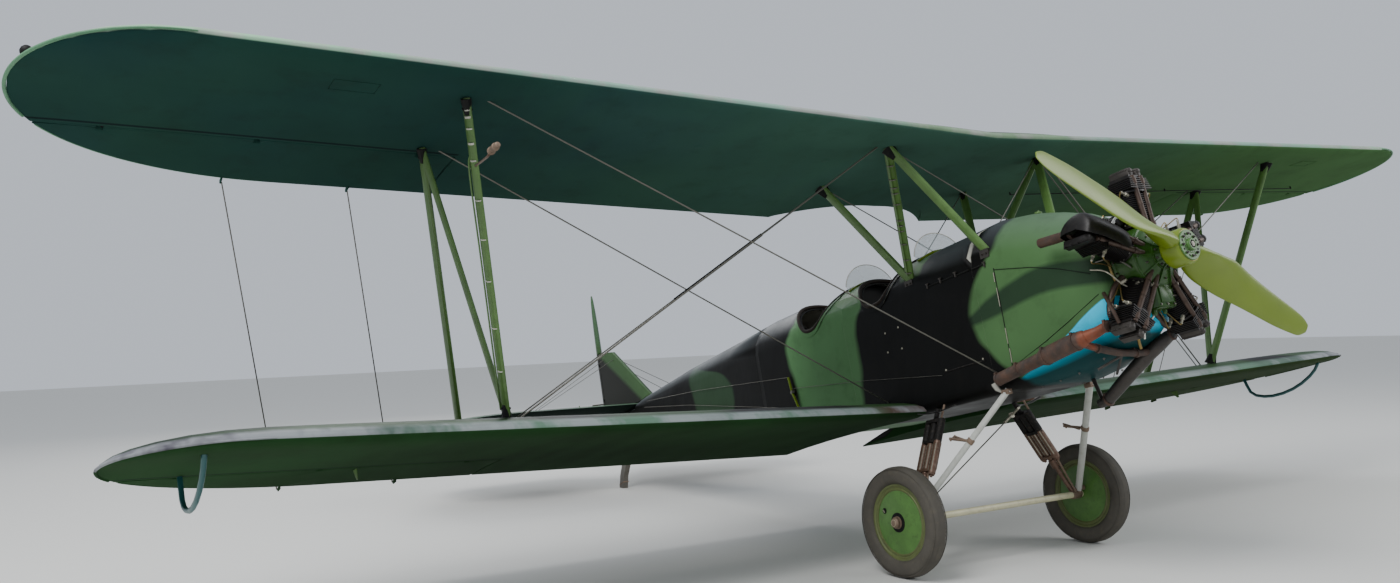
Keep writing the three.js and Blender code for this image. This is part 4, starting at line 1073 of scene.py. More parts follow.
# Dark discs for the plate's holes: painted shade standing for the open holes
for turn in circle(8, math.pi / 8):
    holes.turned(on_plate(0.0090, 0.068, turn), FORWARD, [(0.0065, 0), (0.0065, 0.0015)], 12)
for turn in circle(16):
    holes.turned(on_plate(0.0125, 0.0435, turn), FORWARD, [(0.0025, 0), (0.0025, 0.0015)], 8)
holes.turned(on_plate(0.021), FORWARD, [(0.023, 0), (0.023, 0.001)], 24)
nut.turned(on_plate(0.021), FORWARD, [(0.016, 0), (0.016, 0.009)], 8)
nut.turned(on_plate(0.021), FORWARD, [(0.008, 0), (0.008, 0.0105)], 16)
plate.done("hub_plate", "hub_plate", "propeller", 30)
bolts.done("hub_bolts", "engine_brown", "propeller")
edge.done("hub_plate_edge", "brass", "propeller")
holes.done("hub_holes", "dark", "propeller")
nut.done("hub_nut", "steel", "propeller")


# Wheels
def wheel(side_name, side):
    body = f"wheel_{side_name}"
    middle = Vector((side * WHEEL_X, *AXLE))
    out = Vector((side, 0, 0))
    tyre = Bundle()
    profile = [(0.240, -0.034)]
    for k in range(37):
        turn = math.radians(-128 + 256 * k / 36)
        rise, wide = (math.copysign(abs(part) ** 0.78, part) for part in (math.cos(turn), math.sin(turn)))
        profile.append((0.292 + 0.058 * rise, 0.060 * wide))
    profile.append((0.240, 0.034))
    tyre.turned(middle, out, profile, 72, closed=True)
    for radius, along in ((0.3500, -0.016), (0.3500, 0.016), (0.3385, -0.0512), (0.3385, 0.0512)):
        ridge = [(radius - 0.004, along - 0.003), (radius, along - 0.002), (radius, along + 0.002),
                 (radius - 0.004, along + 0.003)]
        tyre.turned(middle, out, ridge, 72, closed=True)
    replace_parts(tyre.done(f"tyre_{side_name}_skin", "tyre", body, 40), f"tyre_{side_name}")

    disc = Bundle()
    disc.turned(middle, out, [
        (0.026, -0.046), (0.044, -0.046), (0.200, -0.027), (0.204, -0.020), (0.204, 0.020), (0.200, 0.027),
        (0.130, 0.035), (0.060, 0.042), (0.026, 0.042),
    ], 72)
    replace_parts(disc.done(f"wheel_disc_{side_name}_skin", "wheel", body, 30), f"wheel_disc_{side_name}")
    rim = Bundle()
    rim.turned(middle, out, [
        (0.198, -0.020), (0.200, -0.030), (0.208, -0.033), (0.214, -0.029), (0.222, -0.030), (0.230, -0.036),
        (0.241, -0.036), (0.243, -0.030), (0.243, 0.030), (0.241, 0.036), (0.230, 0.036), (0.222, 0.030),
        (0.214, 0.029), (0.208, 0.033), (0.200, 0.030), (0.198, 0.020),
    ], 72, closed=True)
    rim.done(f"wheel_rim_{side_name}", "rim", body, 25)
    hole = Bundle()
    place = middle + Vector((side * 0.0345, 0.115, 0.085))
    # a dark disc for the valve hole: painted shade
    hole.turned(place, out, [(0.019, -0.004), (0.019, 0.0012)], 20)
    hole.turned(middle, out, [(0.062, 0.036), (0.062, 0.0435), (0.056, 0.046), (0.040, 0.046)], 28)
    hole.done(f"wheel_hub_{side_name}", "dark", body)
    cup = Bundle()
    cup.turned(middle, out, [(0.040, 0.044), (0.040, 0.050), (0.034, 0.052), (0.026, 0.052)], 24)
    cup.done(f"wheel_cup_{side_name}", "rusty_steel", body)
    valve = Bundle()
    valve.rod(place + Vector((0, 0.004, -0.010)), place + Vector((side * 0.008, 0.004, 0.008)), 0.004)
    valve.done(f"valve_{side_name}", "pale_metal", body)


for side_name, side in SIDES.items():
    wheel(side_name, side)
caps = Bundle()
for side in SIDES.values():
    end = Vector((side * 0.9385, *AXLE))
    caps.turned(end, (side, 0, 0), [(0.032, -0.012), (0.034, 0.000), (0.026, 0.012), (0.012, 0.0155)], 20)
    caps.rod(end + Vector((0, 0, -0.036)), end + Vector((0, 0, 0.036)), 0.005)
caps.done("axle_caps", "rusty_steel", bevel=0.002)


# Undercarriage
def oval_strut(bundle, start, end, chord, thick):
    """A strut of oval section with its chord fore and aft."""
    start, end = Vector(start), Vector(end)
    along = (end - start).normalized()
    aft = (BACK - along * along.dot(BACK)).normalized() * chord / 2
    over = along.cross(aft).normalized() * thick / 2
    ring = [aft * math.cos(turn) + over * math.sin(turn) for turn in circle(20)]
    return bundle.rings([[start + p for p in ring], [end + p for p in ring]])


axle = Bundle()
axle.turned((0, *AXLE), LEFT, [
    # radius, place
    (0.021, -0.952), (0.0245, -0.947), (0.0245, -0.800), (0.0222, -0.785), (0.0222, 0.785), (0.0245, 0.800),
    (0.0245, 0.947), (0.021, 0.952),
], 32)
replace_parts(axle.done("axle_tube", "axle_paint", angle=30), "axle")


def shock_leg(side_name, side):
    top = Vector((side * 0.366, 1.876, -0.580))
    foot = Vector((side * 0.752, *AXLE))

    def at(part, back=0.0):
        return top.lerp(foot, part) + Vector((0, back, 0))

    upper, lower, marks = Bundle(), Bundle(), Bundle()
    upper.rod(at(0.0), at(0.12), 0.017, 12)
    for back in (-0.058, 0, 0.058):
        upper.rod(at(0.105, back), at(0.31, back), 0.0262, 16)
        lower.rod(at(0.31, back), at(0.60, back), 0.0250, 16)
        profile = [(0.025, 0), (0.020, 0.014), (0.010, 0.016), (0.010, 0.026)]
        lower.turned(at(0.60, back), foot - top, profile, 10)
        for k in range(9):
            lower.rod(at(0.33 + 0.028 * k, back), at(0.340 + 0.028 * k, back), 0.0268, 16)
        # pale lines along each tube: painted highlights, also standing for scratches
        for shift in (-0.014, 0.012):
            for way in (-1, 1):
                offset = Vector((way * 0.0225, shift, 0))
                marks.rod(at(0.33, back) + offset, at(0.57, back) + offset, 0.0042, 6)
    for part in (0.11, 0.30):
        upper.tube([at(part), at(part + 0.03)], 0.0835, 24, flat=0.37)
    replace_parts(upper.done(f"shock_tops_{side_name}", "shock", angle=40), f"gear_leg_shock_{side_name}")
    lower.tube([at(0.565), at(0.59)], 0.0835, 24, flat=0.35)
    lower.rod(at(0.60), at(0.985), 0.017, 12)
    lower.rod(at(0.62), at(0.70), 0.026, 14)
    lower.done(f"shock_tubes_{side_name}", "tube_brown", angle=40)
    marks.done(f"shock_highlights_and_scratches_{side_name}", "pale_metal")
    rod = Bundle()
    rod.rod((side * 0.372, 1.800, -0.560), (side * 0.745, 1.836, -1.240), 0.0075)
    rod.ball((side * 0.745, 1.836, -1.240), 0.014)
    rod.done(f"shock_rod_{side_name}", "rusty_steel")


STEP_RODS = [
    # start and end from the step's clamp, radius, sides
    ((0, -0.030, -0.006), (0, 0.175, 0.045), 0.010, 10),
    ((-0.02, 0.03, 0.00), (-0.02, 0.15, 0.055), 0.008, 8),
    ((-0.03, 0.15, 0.06), (0.01, 0.165, 0.030), 0.007, 8),
]


def gear_fittings(side_name, side):
    top = Vector((side * 0.385, 1.211, -0.575))
    foot = Vector((side * 0.792, *AXLE))
    along = foot - top
    leg = oval_strut(Bundle(), top, foot, 0.048, 0.034)
    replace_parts(leg.done(f"front_leg_{side_name}", "grey_paint", angle=50), f"gear_leg_front_{side_name}")
    clamp = top.lerp(foot, 0.39)
    step = Bundle()
    oval_strut(step, clamp - along * 0.016, clamp + along * 0.016, 0.058, 0.044)
    oval_strut(step, top.lerp(foot, 0.955), top.lerp(foot, 0.985), 0.054, 0.040)
    for start, end, radius, sides in STEP_RODS:
        start, end = (clamp + Vector((side * place[0], *place[1:])) for place in (start, end))
        step.rod(start, end, radius, sides)
    step.done(f"leg_step_{side_name}", "rusty_steel", bevel=0.002)
    lugs = Bundle()
    for place in (top + Vector((side * 0.004, 0.012, -0.012)), foot + Vector((0, -0.030, 0.040))):
        lugs.block(place, (0.044, 0.056, 0.034))
        for back in (-0.016, 0.016):
            lugs.bolt(place + Vector((side * 0.025, back, 0)), (side, 0, 0), 0.007)
    collar = [(0.028, -0.05), (0.031, -0.045), (0.031, 0.030), (0.028, 0.034)]
    lugs.turned((side * 0.775, *AXLE), (side, 0, 0), collar)
    lugs.done(f"leg_fittings_{side_name}", "rusty_steel", bevel=0.004)
    fairing = Bundle()
    path = [(0.400, 1.66, -0.582), (0.412, 1.72, -0.592), (0.430, 1.80, -0.602), (0.455, 1.88, -0.602),
            (0.490, 1.94, -0.590)]
    fairing.tube(curve([(side * x, y, z) for x, y, z in path]), 0.020, 10, flat=0.22)
    fairing.done(f"root_fairing_{side_name}", "engine_black")


for side_name, side in SIDES.items():
    shock_leg(side_name, side)
    gear_fittings(side_name, side)


# Cockpit openings: padded rims, lips, dials and controls
def surface_half(y, z):
    """Half the body's width at a height over the flat side's top."""
    _, half, _, low, top = station(y)
    part = min(1.0, max(0.0, (z - low) / (top - low)))
    return half * math.sqrt(1 - part**2)


def rim_curve(cockpit, out=0.0):
    """The opening's edge, its lower corners rounded off."""
    path = []
    for turn in circle(RIM_POINTS):
        x = (cockpit["width"] + out) * math.cos(turn)
        y = cockpit["y"] + (cockpit["length"] + out) * math.sin(turn)
        limit = surface_half(y, RIM_HEIGHT)
        if abs(x) > limit:
            path.append(Vector((math.copysign(limit, x), y, RIM_HEIGHT)))
        else:
            path.append(Vector((x, y, max(RIM_HEIGHT, deck(x, y)))))
    for _ in range(14):
        ahead = [*path[1:], path[0]]
        path = [(before + spot * 2 + after) / 4 for before, spot, after in zip([path[-1], *path], path, ahead)]
    return path


def rim_skirt(place, cockpit):
    """A band under each side of the rim that fills the opening's corners."""
    path = rim_curve(cockpit)
    skirt = Bundle()
    for start in (0, len(path) // 2):
        rows = []
        for drop, out in ((0.0, 0.002), (0.022, 0.0022), (0.045, 0.0022)):
            row = []
            for k in range(-19, 20):
                spot = path[(start + k) % len(path)]
                z = spot.z - drop
                half = max(surface_half(spot.y, z), abs(spot.x)) + out
                row.append((math.copysign(half, spot.x), spot.y, z))
            rows.append(row)
        skirt.sheet(rows, -0.003 if start == 0 else 0.003)
    skirt.done(f"cockpit_skirt_{place}", "camouflage", angle=60)


DIALS = [
    # x, z, radius
    (-0.20, 0.14, 0.042), (-0.08, 0.18, 0.042), (0.06, 0.18, 0.042), (0.19, 0.14, 0.042),
    (-0.14, 0.04, 0.032), (0.0, 0.06, 0.036), (0.13, 0.03, 0.032),
]


def instruments(place, face):
    dials, rings, marks = Bundle(), Bundle(), Bundle()
    for x, z, radius in DIALS:
        middle = Vector((x, face, z))
        dials.turned(middle, BACK, [(radius, -0.001), (radius, 0.003)], 24)
        edge = [(radius, 0), (radius + 0.006, 0.002), (radius + 0.004, 0.007), (radius, 0.006)]
        rings.turned(middle, BACK, edge, 24, closed=True)
        marks.rod(middle + BACK * 0.004, middle + Vector((radius * 0.5, 0.004, radius * 0.6)), 0.0012, 4)
        glass_face = middle + BACK * 0.0038
        for k in range(10):
            turn = math.radians(-135 + 30 * k)
            way = Vector((math.sin(turn), 0, math.cos(turn))) * radius
            marks.rod(glass_face + way * 0.78, glass_face + way * 0.94, 0.0009, 4)
    for k in range(6):
        marks.ball((-0.125 + 0.05 * k, face + 0.004, -0.015), 0.007, 8)
    dials.done(f"dials_{place}", "shock")
    rings.done(f"dial_rings_{place}", "steel")
    marks.done(f"dial_marks_{place}", "white")


def cockpit_details(place, cockpit):
    rim = Bundle().tube(rim_curve(cockpit), 0.015, 12, closed=True)
    rim.done(f"cockpit_rim_{place}", "padding", angle=60)
    lip = [Vector((0.97 * p.x, p.y, p.z - 0.024)) for p in rim_curve(cockpit, -0.008)]
    Bundle().tube(lip, 0.008, 8, closed=True).done(f"cockpit_lip_{place}", "dark", angle=60)
    rim_skirt(place, cockpit)
    instruments(place, cockpit["y"] - cockpit["length"] - 0.0235)

    y = cockpit["y"]
    controls = Bundle()
    stick = [(0, y - 0.16, -0.52), (0, y - 0.13, -0.20), (0, y - 0.10, -0.02), (0, y - 0.085, 0.06)]
    controls.tube(curve(stick), 0.011, 10)
    controls.rod((-0.16, y - 0.42, -0.42), (0.16, y - 0.42, -0.42), 0.012)
    controls.rod((0.33, y - 0.20, 0.02), (0.30, y - 0.16, 0.14), 0.006)
    controls.ball((0.30, y - 0.16, 0.145), 0.014)
    controls.done(f"controls_{place}", "steel")
    grip = [(0.012, 0), (0.016, 0.02), (0.015, 0.08), (0.018, 0.11), (0.010, 0.12)]
    Bundle().turned((0, y - 0.087, 0.05), (0, 0.12, 1), grip, 14).done(f"stick_grip_{place}", "dark")
    belts = Bundle()
    for x in (-0.09, 0.09):
        path = [(x, 0.205, 0.17), (x, 0.165, 0.05), (x, 0.130, -0.14), (x * 0.8, 0.06, -0.245)]
        belts.tube(curve([Vector(spot) + BACK * y for spot in path]), 0.019, 8, flat=0.16)
    belts.done(f"seat_belts_{place}", "cloth")


for place, cockpit in COCKPITS.items():
    cockpit_details(place, cockpit)

# Steel tube frame inside the cockpits
INNER_X = 0.356
inside = Bundle()
for side in SIDES.values():
    x = side * INNER_X
    for z in (-0.50, 0.205):
        inside.rod((x, 1.335, z), (x, 3.30, z), 0.011, 10)
    for start, end in ((1.34, 1.94), (1.94, 2.62), (2.62, 3.28)):
        inside.rod((x, start, -0.50), (x, end, 0.205), 0.009)
        inside.rod((x, end, -0.50), (x, end, 0.205), 0.009)
inside.done("cockpit_frame", "grey_paint")


# Windscreens: base strips and bare edges
def screen_place(front, degrees, z):
    turn = math.radians(degrees)
    lean = (z - station(front)[4]) * 0.566
    return Vector((0.250 * math.sin(turn), front + 0.115 * (1 - math.cos(turn)) + lean, z))


def screen_trim(place, front):
    crown = station(front)[4]
    low, high = [], []
    for k in range(41):
        degrees = -80 + 4 * k
        z = crown
        for _ in range(6):
            spot = screen_place(front, degrees, z)
            z = deck(spot.x, spot.y)
        low.append(spot + Vector((0, -0.004, 0.004)))
        high.append(screen_place(front, degrees, crown - 0.060 + 0.215 * math.cos(math.radians(degrees))))
    raised = [(a, b) for a, b in zip(low, high) if b.z > a.z + 0.006]
    base = Bundle().tube([a for a, _ in raised], 0.013, 8, flat=0.7)
    base.done(f"screen_base_{place}", "propeller", angle=60)
    Bundle().tube([b for _, b in raised], 0.003, 6).done(f"screen_edge_{place}", "pale_metal", angle=60)


for place, front in SCREENS.items():
    screen_trim(place, front)

# Fuselage side details
STRIPS = [
    # name, finish, radius, places: aft, height and distance out from both flat sides
    ("firewall_seam", "dark", 0.004, [
        (1.118, 0.187, 0.001), (1.122, 0.0, 0.001), (1.128, -0.25, 0.001), (1.133, -0.456, 0.001),
    ]),
    ("belly_seam", "dark", 0.0028, [
        (0.440, -0.168, 0.001), (0.467, -0.181, 0.002), (0.655, -0.271, 0.002), (0.839, -0.348, 0.002),
        (1.120, -0.445, 0.001),
    ]),
    ("cowl_seam", "dark", 0.003, [
        (0.46, -0.038, 0.004), (0.66, 0.050, 0.002), (0.84, 0.112, 0.002), (1.0, 0.150, 0.002),
        (1.12, 0.178, 0.002),
    ]),
    ("longeron_seam", "dark", 0.0025, [
        (3.87, -0.27, 0.0005), (4.6, -0.19, 0.0005), (5.3, -0.11, 0.0005), (6.2, 0.0, 0.0005),
    ]),
    ("cable_low", "cable", 0.0028, [(1.74, -0.372, 0.006), (2.466, -0.255, 0.012), (3.385, -0.130, 0.020)]),
    ("cable_high", "cable", 0.0028, [(3.404, -0.037, 0.020), (4.91, 0.154, 0.014), (6.02, 0.262, 0.024)]),
    ("cable_tail", "cable", 0.0028, [(3.328, -0.298, 0.020), (5.13, 0.060, 0.014), (6.10, 0.215, 0.024)]),
    # the step slot: a dark strip as painted shade for the recess
    ("step_slot", "shock", 0.010, [(1.345, -0.358, -0.004), (1.53, -0.355, -0.004), (1.715, -0.357, -0.004)]),
    ("control_lever", "propeller", 0.012, [
        (3.404, -0.037, 0.018), (3.385, -0.160, 0.018), (3.328, -0.298, 0.018),
    ]),
]
for name, finish, radius, places in STRIPS:
    strip = Bundle()
    for side in SIDES.values():
        strip.tube([on_side(side, *place) for place in places], radius, 8, flat=0.6)
    strip.done(name, finish, angle=60)

STUDS = [(2.217, 0.031), (2.075, 0.040), (2.076, -0.110), (2.224, -0.105), (1.36, -0.345), (1.70, -0.345)]
seam_rods, latches, hinge, studs, pivots = (Bundle() for _ in range(5))
for side in SIDES.values():
    out = Vector((side, 0, 0))
    for low, high in ((0.16, 0.10), (0.06, -0.06), (-0.20, -0.30), (-0.33, -0.42)):
        seam_rods.rod(on_side(side, 1.124, low, 0.004), on_side(side, 1.128, high, 0.004), 0.003, 6)
    for y, z in ((1.588, 0.240), (1.445, 0.240), (1.184, 0.232), (1.715, 0.236)):
        latches.block(on_side(side, y, z, 0.003), (0.010, 0.012, 0.034))
        latches.block(on_side(side, y, z + 0.014, 0.004), (0.010, 0.026, 0.008))
    for k in range(4):
        y = 1.18 + 0.14 * k
        hinge.rod(on_side(side, y, 0.235, 0.001), on_side(side, y + 0.115, 0.232, 0.001), 0.0055)
    for y, z in STUDS:
        studs.turned(on_side(side, y, z, -0.001), out, [(0.008, 0), (0.007, 0.003), (0.003, 0.004)], 12)
    pivots.turned(on_side(side, 3.385, -0.160), out, [(0.022, 0), (0.022, 0.012), (0.012, 0.030)], 14)
seam_rods.done("seam_rods", "pale_metal")
latches.done("deck_latches", "engine_brown", bevel=0.002)
hinge.done("deck_hinge", "dark")
studs.done("side_studs", "pale_metal")
pivots.done("lever_pivots", "steel")

belly = Bundle()
for x in (-0.20, 0.20):
    for y in (0.60, 0.80, 0.95, 1.10):
        belly.bolt((x, y, station(y)[2] + 0.001), (0, 0, -1), 0.007, 0.005)
belly.done("belly_bolts", "steel")
profile = [(0.024, 0), (0.024, 0.010), (0.020, 0.013), (0.006, 0.014), (0.006, 0.022)]
Bundle().turned((0, 1.0, 0.518), (0, -0.2, 1), profile).done("filler_cap", "strut", bevel=0.002)


# Struts: fittings at both ends, ties and pipes
def strut_fitting(bundle, place, towards):
    way = (Vector(towards) - Vector(place)).normalized()
    bundle.tube([place, place + way * 0.085], [0.030, 0.018], 10, flat=1.7)
    for shift in (0.024, 0.055):
        bundle.rod(place + way * shift - LEFT * 0.028, place + way * shift + LEFT * 0.028, 0.007, 6)


OUTER_STRUTS = [
    # upper place (x, y), lower place (x, y)
    ((3.632, 1.493), (3.288, 2.257)), ((3.636, 2.204), (3.300, 2.970)),
]
CABANE_TOPS = [(0.715, 1.497), (0.705, 2.250)]
CABANE_FEET = [(0.352, 1.179, 0.322), (0.352, 1.905, 0.322)]
fittings, sockets = Bundle(), Bundle()
for side in SIDES.values():
    for top, foot in OUTER_STRUTS:
        high, low = under(side * top[0], top[1]), above(side * foot[0], foot[1])
        strut_fitting(sockets, high, low)
        strut_fitting(sockets, low, high)
    for top, foot in zip(CABANE_TOPS, CABANE_FEET):
        high, low = under(side * top[0], top[1]), Vector((side * foot[0], *foot[1:]))
        strut_fitting(sockets, high, low)
        fittings.block(low + Vector((side * 0.012, 0, -0.020)), (0.030, 0.075, 0.055))
        for back in (-0.018, 0.018):
            fittings.bolt(low + Vector((side * 0.027, back, -0.020)), (side, 0, 0), 0.008)
sockets.done("strut_sockets", "dark", angle=40)
fittings.done("strut_feet", "engine_brown", angle=40)

TIES = [
    # share of the strut's length, tie's own share
    (0.030, 0.004), (0.050, 0.006), (0.085, 0.004), (0.128, 0.006), (0.180, 0.004), (0.30, 0.003),
    (0.42, 0.003), (0.55, 0.003), (0.70, 0.003), (0.84, 0.003),
]
high, low = under(-3.632, 1.493), above(-3.288, 2.257)
ties = Bundle()
for part, length in TIES:
    ties.tube([high.lerp(low, part), high.lerp(low, part + length)], 0.0200, 14, flat=1.90)
ties.done("strut_ties", "white")
pipe = Bundle()
aside = Vector((-0.022, 0.025, 0))
bends = [high.lerp(low, part) + aside * share for part, share in ((0.17, 0), (0.20, 1), (0.5, 1), (0.97, 1))]
pipe.tube(curve(bends), 0.005, 6)
cabane_top, cabane_foot = under(-0.715, 1.497), Vector((-0.352, 1.905, 0.322))
aside = Vector((-0.026, -0.004, 0))
pipe.tube([cabane_top.lerp(cabane_foot, t) + aside for t in (0.03, 0.5, 0.96)], 0.006, 6)
pipe.done("strut_pipes", "strut")
wraps = Bundle()
for part in (0.12, 0.22, 0.28, 0.32, 0.40, 0.52, 0.56, 0.60, 0.70, 0.82, 0.92):
    ends = [cabane_top.lerp(cabane_foot, share) for share in (part, part + 0.006)]
    wraps.tube(ends, 0.0285, 14, flat=1.2)
wraps.done("cabane_wraps", "cable")

pitot = Bundle()
head = Vector((-3.62, 1.245, 0.862))
pitot.turned(head, FORWARD, [
    (0.010, -0.055), (0.018, -0.050), (0.018, 0.010), (0.021, 0.012), (0.021, 0.024), (0.017, 0.026),
    (0.015, 0.052), (0.008, 0.056),
], 20)
for back in (0.030, 0.040):
    profile = [(0.018, -0.003), (0.0215, -0.002), (0.0215, 0.002), (0.018, 0.003)]
    pitot.turned(head + BACK * back, BACK, profile, 20)
pitot.done("pitot_head", "rusty_steel", bevel=0.0015)
path = [head + BACK * 0.045, head + Vector((0, 0.10, -0.010)), high.lerp(low, 0.20)]
Bundle().tube(curve(path), 0.0065, 10).done("pitot_arm", "tube_brown")

# Wires: second landing wires with their spacers, cross wires and undercarriage wires
wires, spacers, cross = Bundle(), Bundle(), Bundle()
for side in SIDES.values():
    pairs = [(under(side * 0.790, y), above(side * 3.200, y + 0.790)) for y in (1.500, 1.545)]
    wires.rod(*pairs[1], 0.0045, 6)
    middle_wire = [first.lerp(second, 0.5) for first, second in zip(*pairs)]
    spacers.rod(*(middle_wire[0].lerp(middle_wire[1], part) for part in (0.35, 0.595)), 0.0105, 10)
    wires.rod(under(side * 0.70, 1.50), (side * -0.352, 1.19, 0.33), 0.004, 6)
    wires.rod(under(side * 0.69, 2.25), (side * -0.352, 1.91, 0.33), 0.004, 6)
    wires.rod(under(side * 0.70, 1.52), (side * 0.352, 1.905, 0.35), 0.003, 6)
low_end, high_end = Vector((-0.742, 1.845, -1.230)), Vector((0.415, 1.860, -0.605))
wires.rod(low_end, high_end, 0.0045, 6)
middle = low_end.lerp(high_end, 0.90)
along = (high_end - low_end).normalized()
cross.rod(middle - along * 0.10, middle + along * 0.10, 0.0095, 8)
cross.rod(middle + Vector((0, -0.07, 0.035)), middle + Vector((0, 0.07, -0.035)), 0.0075, 8)
cross.block(middle, (0.034, 0.018, 0.034))
wires.done("bracing_wires", "cable")
spacers.done("wire_spacers", "dark")
cross.done("wire_strainers", "pale_metal")

# Aileron cable under the left upper wing
cables = Bundle()
spots = [(1.20, 2.22), (3.10, 2.15), (5.00, 2.10)]
cables.tube([under(x, y) - Vector((0, 0, 0.022)) for x, y in spots], 0.004, 8)
for x, y in spots:
    cables.rod(under(x, y), under(x, y) - Vector((0, 0, 0.028)), 0.006)
cables.done("aileron_cable", "dark")

# Bows round the wing tips, in one with the ailerons' edges where those begin
for name, wing, finish in (("upper", UPPER, "tip_green"), ("lower", LOWER, "lower_wing")):
    hinge_line = wing["lead"] + HINGE_BACK
    middle = wing["lead"] + TIP_FRONT
    for side_name, side in SIDES.items():
        front, back = [], []
        for turn in (math.radians(k * 3.0) for k in range(31)):
            x = side * (wing["tip"] - TIP_FRONT + (TIP_FRONT + TIP_BULGE) * math.sin(turn))
            y = middle - TIP_FRONT * math.cos(turn)
            front.append(Vector((x, y, plane_height(wing, x, y))))
            x = side * (wing["tip"] - TIP_REAR[0] + (TIP_REAR[0] + TIP_BULGE) * math.cos(turn))
            y = middle + TIP_REAR[1] * math.sin(turn)
            back.append(Vector((x, y, plane_height(wing, x, y))))
        fixed = [*front, *(p for p in back[1:] if p.y < hinge_line - 0.06)]
        radii = [0.003 + 0.006 * min(1, k / 14) for k in range(len(fixed))]
        Bundle().tube(fixed, radii, 10).done(f"{name}_tip_bow_{side_name}", finish, angle=60)
        moving = [p for p in back if p.y > hinge_line + 0.02]
        bow = Bundle().tube([p - Vector((0, 0.003, 0)) for p in moving], 0.005, 8)
        bow.done(f"{name}_aileron_bow_{side_name}", finish, f"aileron_{name}_{side_name}", angle=60)

# Gentler curve of the upper trailing edge over the cockpits, filling the CAD part's notch
CUT_OUT = [
    # the notch's corners: distance from the middle, depth
    (0.0, 0.360), (0.210, 0.360), (0.400, 0.337), (0.560, 0.248), (0.680, 0.118), (0.758, 0.0),
]
CURVE_DEPTH = 0.335
CURVE_STEPS = 40
TRAIL = UPPER["lead"] + CHORD


def cut_out_depth(x):
    for (near, deep), (far, shallow) in zip(CUT_OUT, CUT_OUT[1:]):
        if x <= far:
            return deep + (x - near) / (far - near) * (shallow - deep)
    return 0.0


curve_rings = []
for share in (k / CURVE_STEPS for k in range(-CURVE_STEPS, CURVE_STEPS + 1)):
    x = CUT_OUT[-1][0] * share
    start = TRAIL - cut_out_depth(abs(x)) - 0.03
    end = TRAIL - CURVE_DEPTH * (1 - share**2)
    curve_rings.append([
        (x, start, wing_skin(UPPER, x, start, True) - 0.001), (x, end, wing_skin(UPPER, x, end, True)),
        (x, end, wing_skin(UPPER, x, end, False)), (x, start, wing_skin(UPPER, x, start, False) + 0.001),
    ])
Bundle().rings(curve_rings).done("trailing_edge_curve", "upper_wing")

# Hatches, lamps and tip fittings
hatches = Bundle()
for side in SIDES.values():
    corners = [(4.33, 1.44), (4.10, 1.44), (4.10, 1.56), (4.33, 1.56)]
    hatches.tube([under(side * x, y) - Vector((0, 0, 0.001)) for x, y in corners], 0.0022, 6, closed=True)
    for x in (1.0, 2.0, 3.0):
        profile = [(0.030, -0.002), (0.030, 0.0015), (0.026, 0.003)]
        hatches.turned(under(side * x, 1.80), (0, 0, -1), profile, 20)
hatches.done("wing_hatches", "upper_wing")
for side_name, side in SIDES.items():
    edge = [(4.61, 2.335), (4.73, 2.335), (4.73, 2.375), (4.61, 2.375)]
    patch = Bundle().plate([under(side * x, y) - Vector((0, 0, 0.0005)) for x, y in edge], 0.003)
    patch.done(f"aileron_patch_{side_name}", "wood", f"aileron_upper_{side_name}")
lamps, bases = Bundle(), Bundle()
for side in SIDES.values():
    place = Vector((side * 5.62, 1.745, 1.385))
    bases.turned(place, (side * 0.3, -0.3, 1), [(0.030, -0.03), (0.030, 0.008), (0.022, 0.012)], 16)
    lamps.ball(place + Vector((side * 0.005, -0.006, 0.026)), 0.030, 14)
bases.done("lamp_bases", "teal")
lamps.done("tip_lamps", "dark")


# Horns on the ailerons, elevators and rudder
def horn(bundle, x, outline):
    bundle.rings([[Vector((x + shift, y, z)) for y, z in outline] for shift in (-0.002, 0.002)])


for side_name, side in SIDES.items():
    x = side * 3.92
    arms = Bundle()
    for over, reach in ((False, -0.07), (True, 0.10)):
        y = LOWER["lead"] + HINGE_BACK
        skin = wing_skin(LOWER, x, y + 0.05, over) - math.copysign(0.004, reach)
        top = skin + reach
        horn(arms, x, [(y + 0.02, skin), (y + 0.10, skin), (y + 0.035, top), (y + 0.015, top)])
    arms.done(f"aileron_horn_{side_name}", "strut", f"aileron_lower_{side_name}")

elevator_arms = Bundle()
tail_y, tail_z = TAIL_HINGE
for side in SIDES.values():
    for over in (1, -1):
        horn(elevator_arms, side * 0.34, [
            (tail_y + 0.035, tail_z + over * 0.018), (tail_y + 0.11, tail_z + over * 0.016),
            (tail_y + 0.045, tail_z + over * 0.14), (tail_y + 0.03, tail_z + over * 0.14),
        ])
elevator_arms.done("elevator_horns", "strut", "elevators")
rudder_arms = Bundle()
swing = Matrix.Rotation(RUDDER_REST, 3, "Z")
root = Vector((0, RUDDER_AXIS, 0.45))
for side in SIDES.values():
    inner, outer = Vector((side * 0.012, 0.03, 0)), Vector((side * 0.15, 0.01, 0))
    rudder_arms.rod(root + swing @ inner, root + swing @ outer, 0.008)
rudder_arms.done("rudder_horn", "steel", "rudder")
tail_wires = Bundle()
for side in SIDES.values():
    tail_wires.rod((side * 0.028, 6.86, 0.86), (side * 1.05, 6.82, 0.335), 0.003, 6)
    tail_wires.rod((side * 0.028, 7.08, 0.90), (side * 1.05, 7.06, 0.325), 0.003, 6)
tail_wires.done("fin_wires", "cable")
clips = Bundle()
clips.block((0, 7.050, -0.428), (0.066, 0.10, 0.012), Matrix.Rotation(math.radians(-12.5), 3, "X"))
for k in range(3):
    spot = (0, 6.72 + 0.055 * k, 0.02 - 0.075 * k)
    clips.block(spot, (0.062, 0.030, 0.022), Matrix.Rotation(math.radians(-45), 3, "X"))
clips.done("skid_clips", "rusty_steel", bevel=0.002)

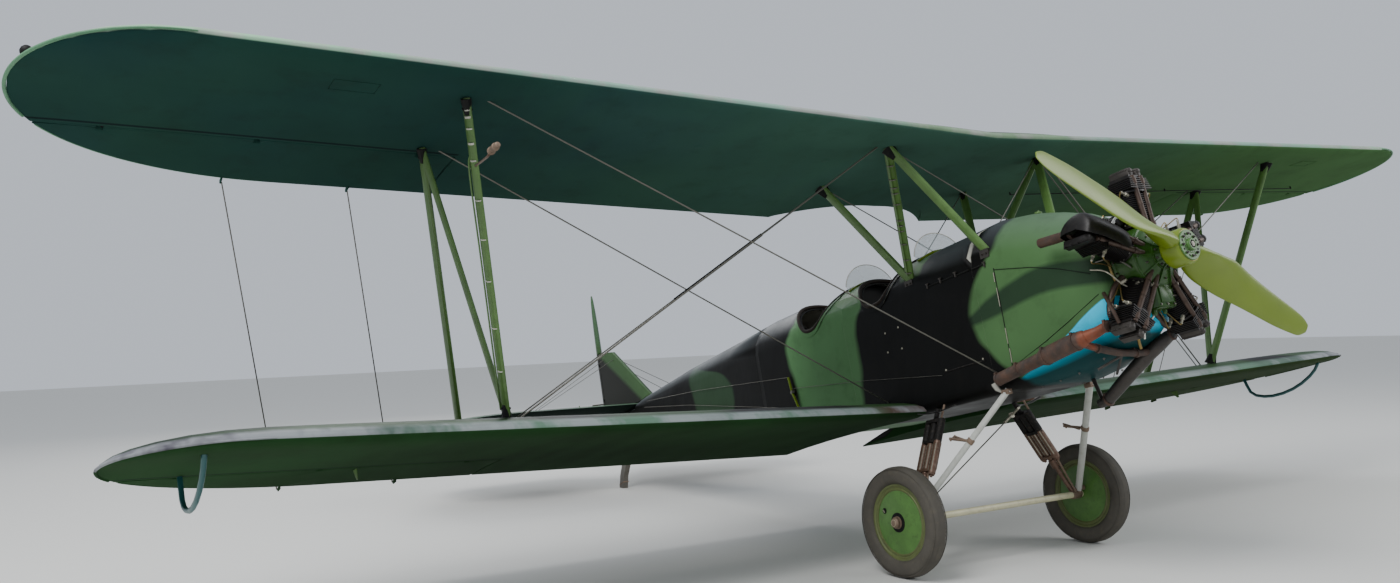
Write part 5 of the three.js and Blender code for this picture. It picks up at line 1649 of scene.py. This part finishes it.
# Camera at the photograph's place, fitted to its struts, wheels and wing tips
CAMERA_PLACE = (-5.941, -3.897, -1.268)
CAMERA_RIGHT = Vector((0.841, -0.518, -0.154))
CAMERA_AHEAD = Vector((0.540, 0.815, 0.211))
FOCAL_SHARE = 1170.94 / 1400  # focal length over the picture's width


def turn_level(vector):
    return (LEFT * vector[0] + AFT * vector[1] + UP * vector[2]).normalized()


ahead = turn_level(CAMERA_AHEAD)
right = turn_level(CAMERA_RIGHT)
right = (right - ahead * right.dot(ahead)).normalized()
up = right.cross(ahead)
lens = bpy.data.cameras.new("camera")
lens.sensor_width = 36.0
lens.lens = 36.0 * FOCAL_SHARE
lens.shift_y = 0.0046
lens.clip_end = 200.0
camera = add_object("camera", lens)
turn = Matrix((right, up, -ahead)).transposed().to_4x4()
camera.matrix_world = Matrix.Translation(level(CAMERA_PLACE)) @ turn
bpy.context.scene.camera = camera

# Pale floor and soft light
floor_mesh = bpy.data.meshes.new("floor")
reach = 60.0
corners = [(-reach, -reach, 0), (reach, -reach, 0), (reach, reach, 0), (-reach, reach, 0)]
floor_mesh.from_pydata(corners, [], [(0, 1, 2, 3)])
floor_mesh.materials.append(Paint("floor", "#d9d8d3", 0.9).material)
floor = add_object("floor", floor_mesh)

world = bpy.data.worlds.new("world")
bpy.context.scene.world = world
world.use_nodes = True
sky = world.node_tree.nodes["Background"]
sky.inputs["Color"].default_value = (0.80, 0.86, 0.95, 1.0)
sky.inputs["Strength"].default_value = 0.75

LIT_PLACE = Vector((0, 0, 1.2))
LIGHTS = [
    # name, place, size, power in watts
    ("key", (-9.0, -4.0, 11.0), 7.0, 1500),
    ("fill", (10.0, -9.0, 8.0), 8.0, 700),
    ("back", (2.0, 12.0, 9.0), 8.0, 600),
]
for name, place, size, power in LIGHTS:
    light = bpy.data.lights.new(name, "AREA")
    light.size = size
    light.energy = power
    lamp = add_object(name, light)
    lamp.location = place
    lamp.rotation_euler = (LIT_PLACE - Vector(place)).to_track_quat("-Z", "Y").to_euler()
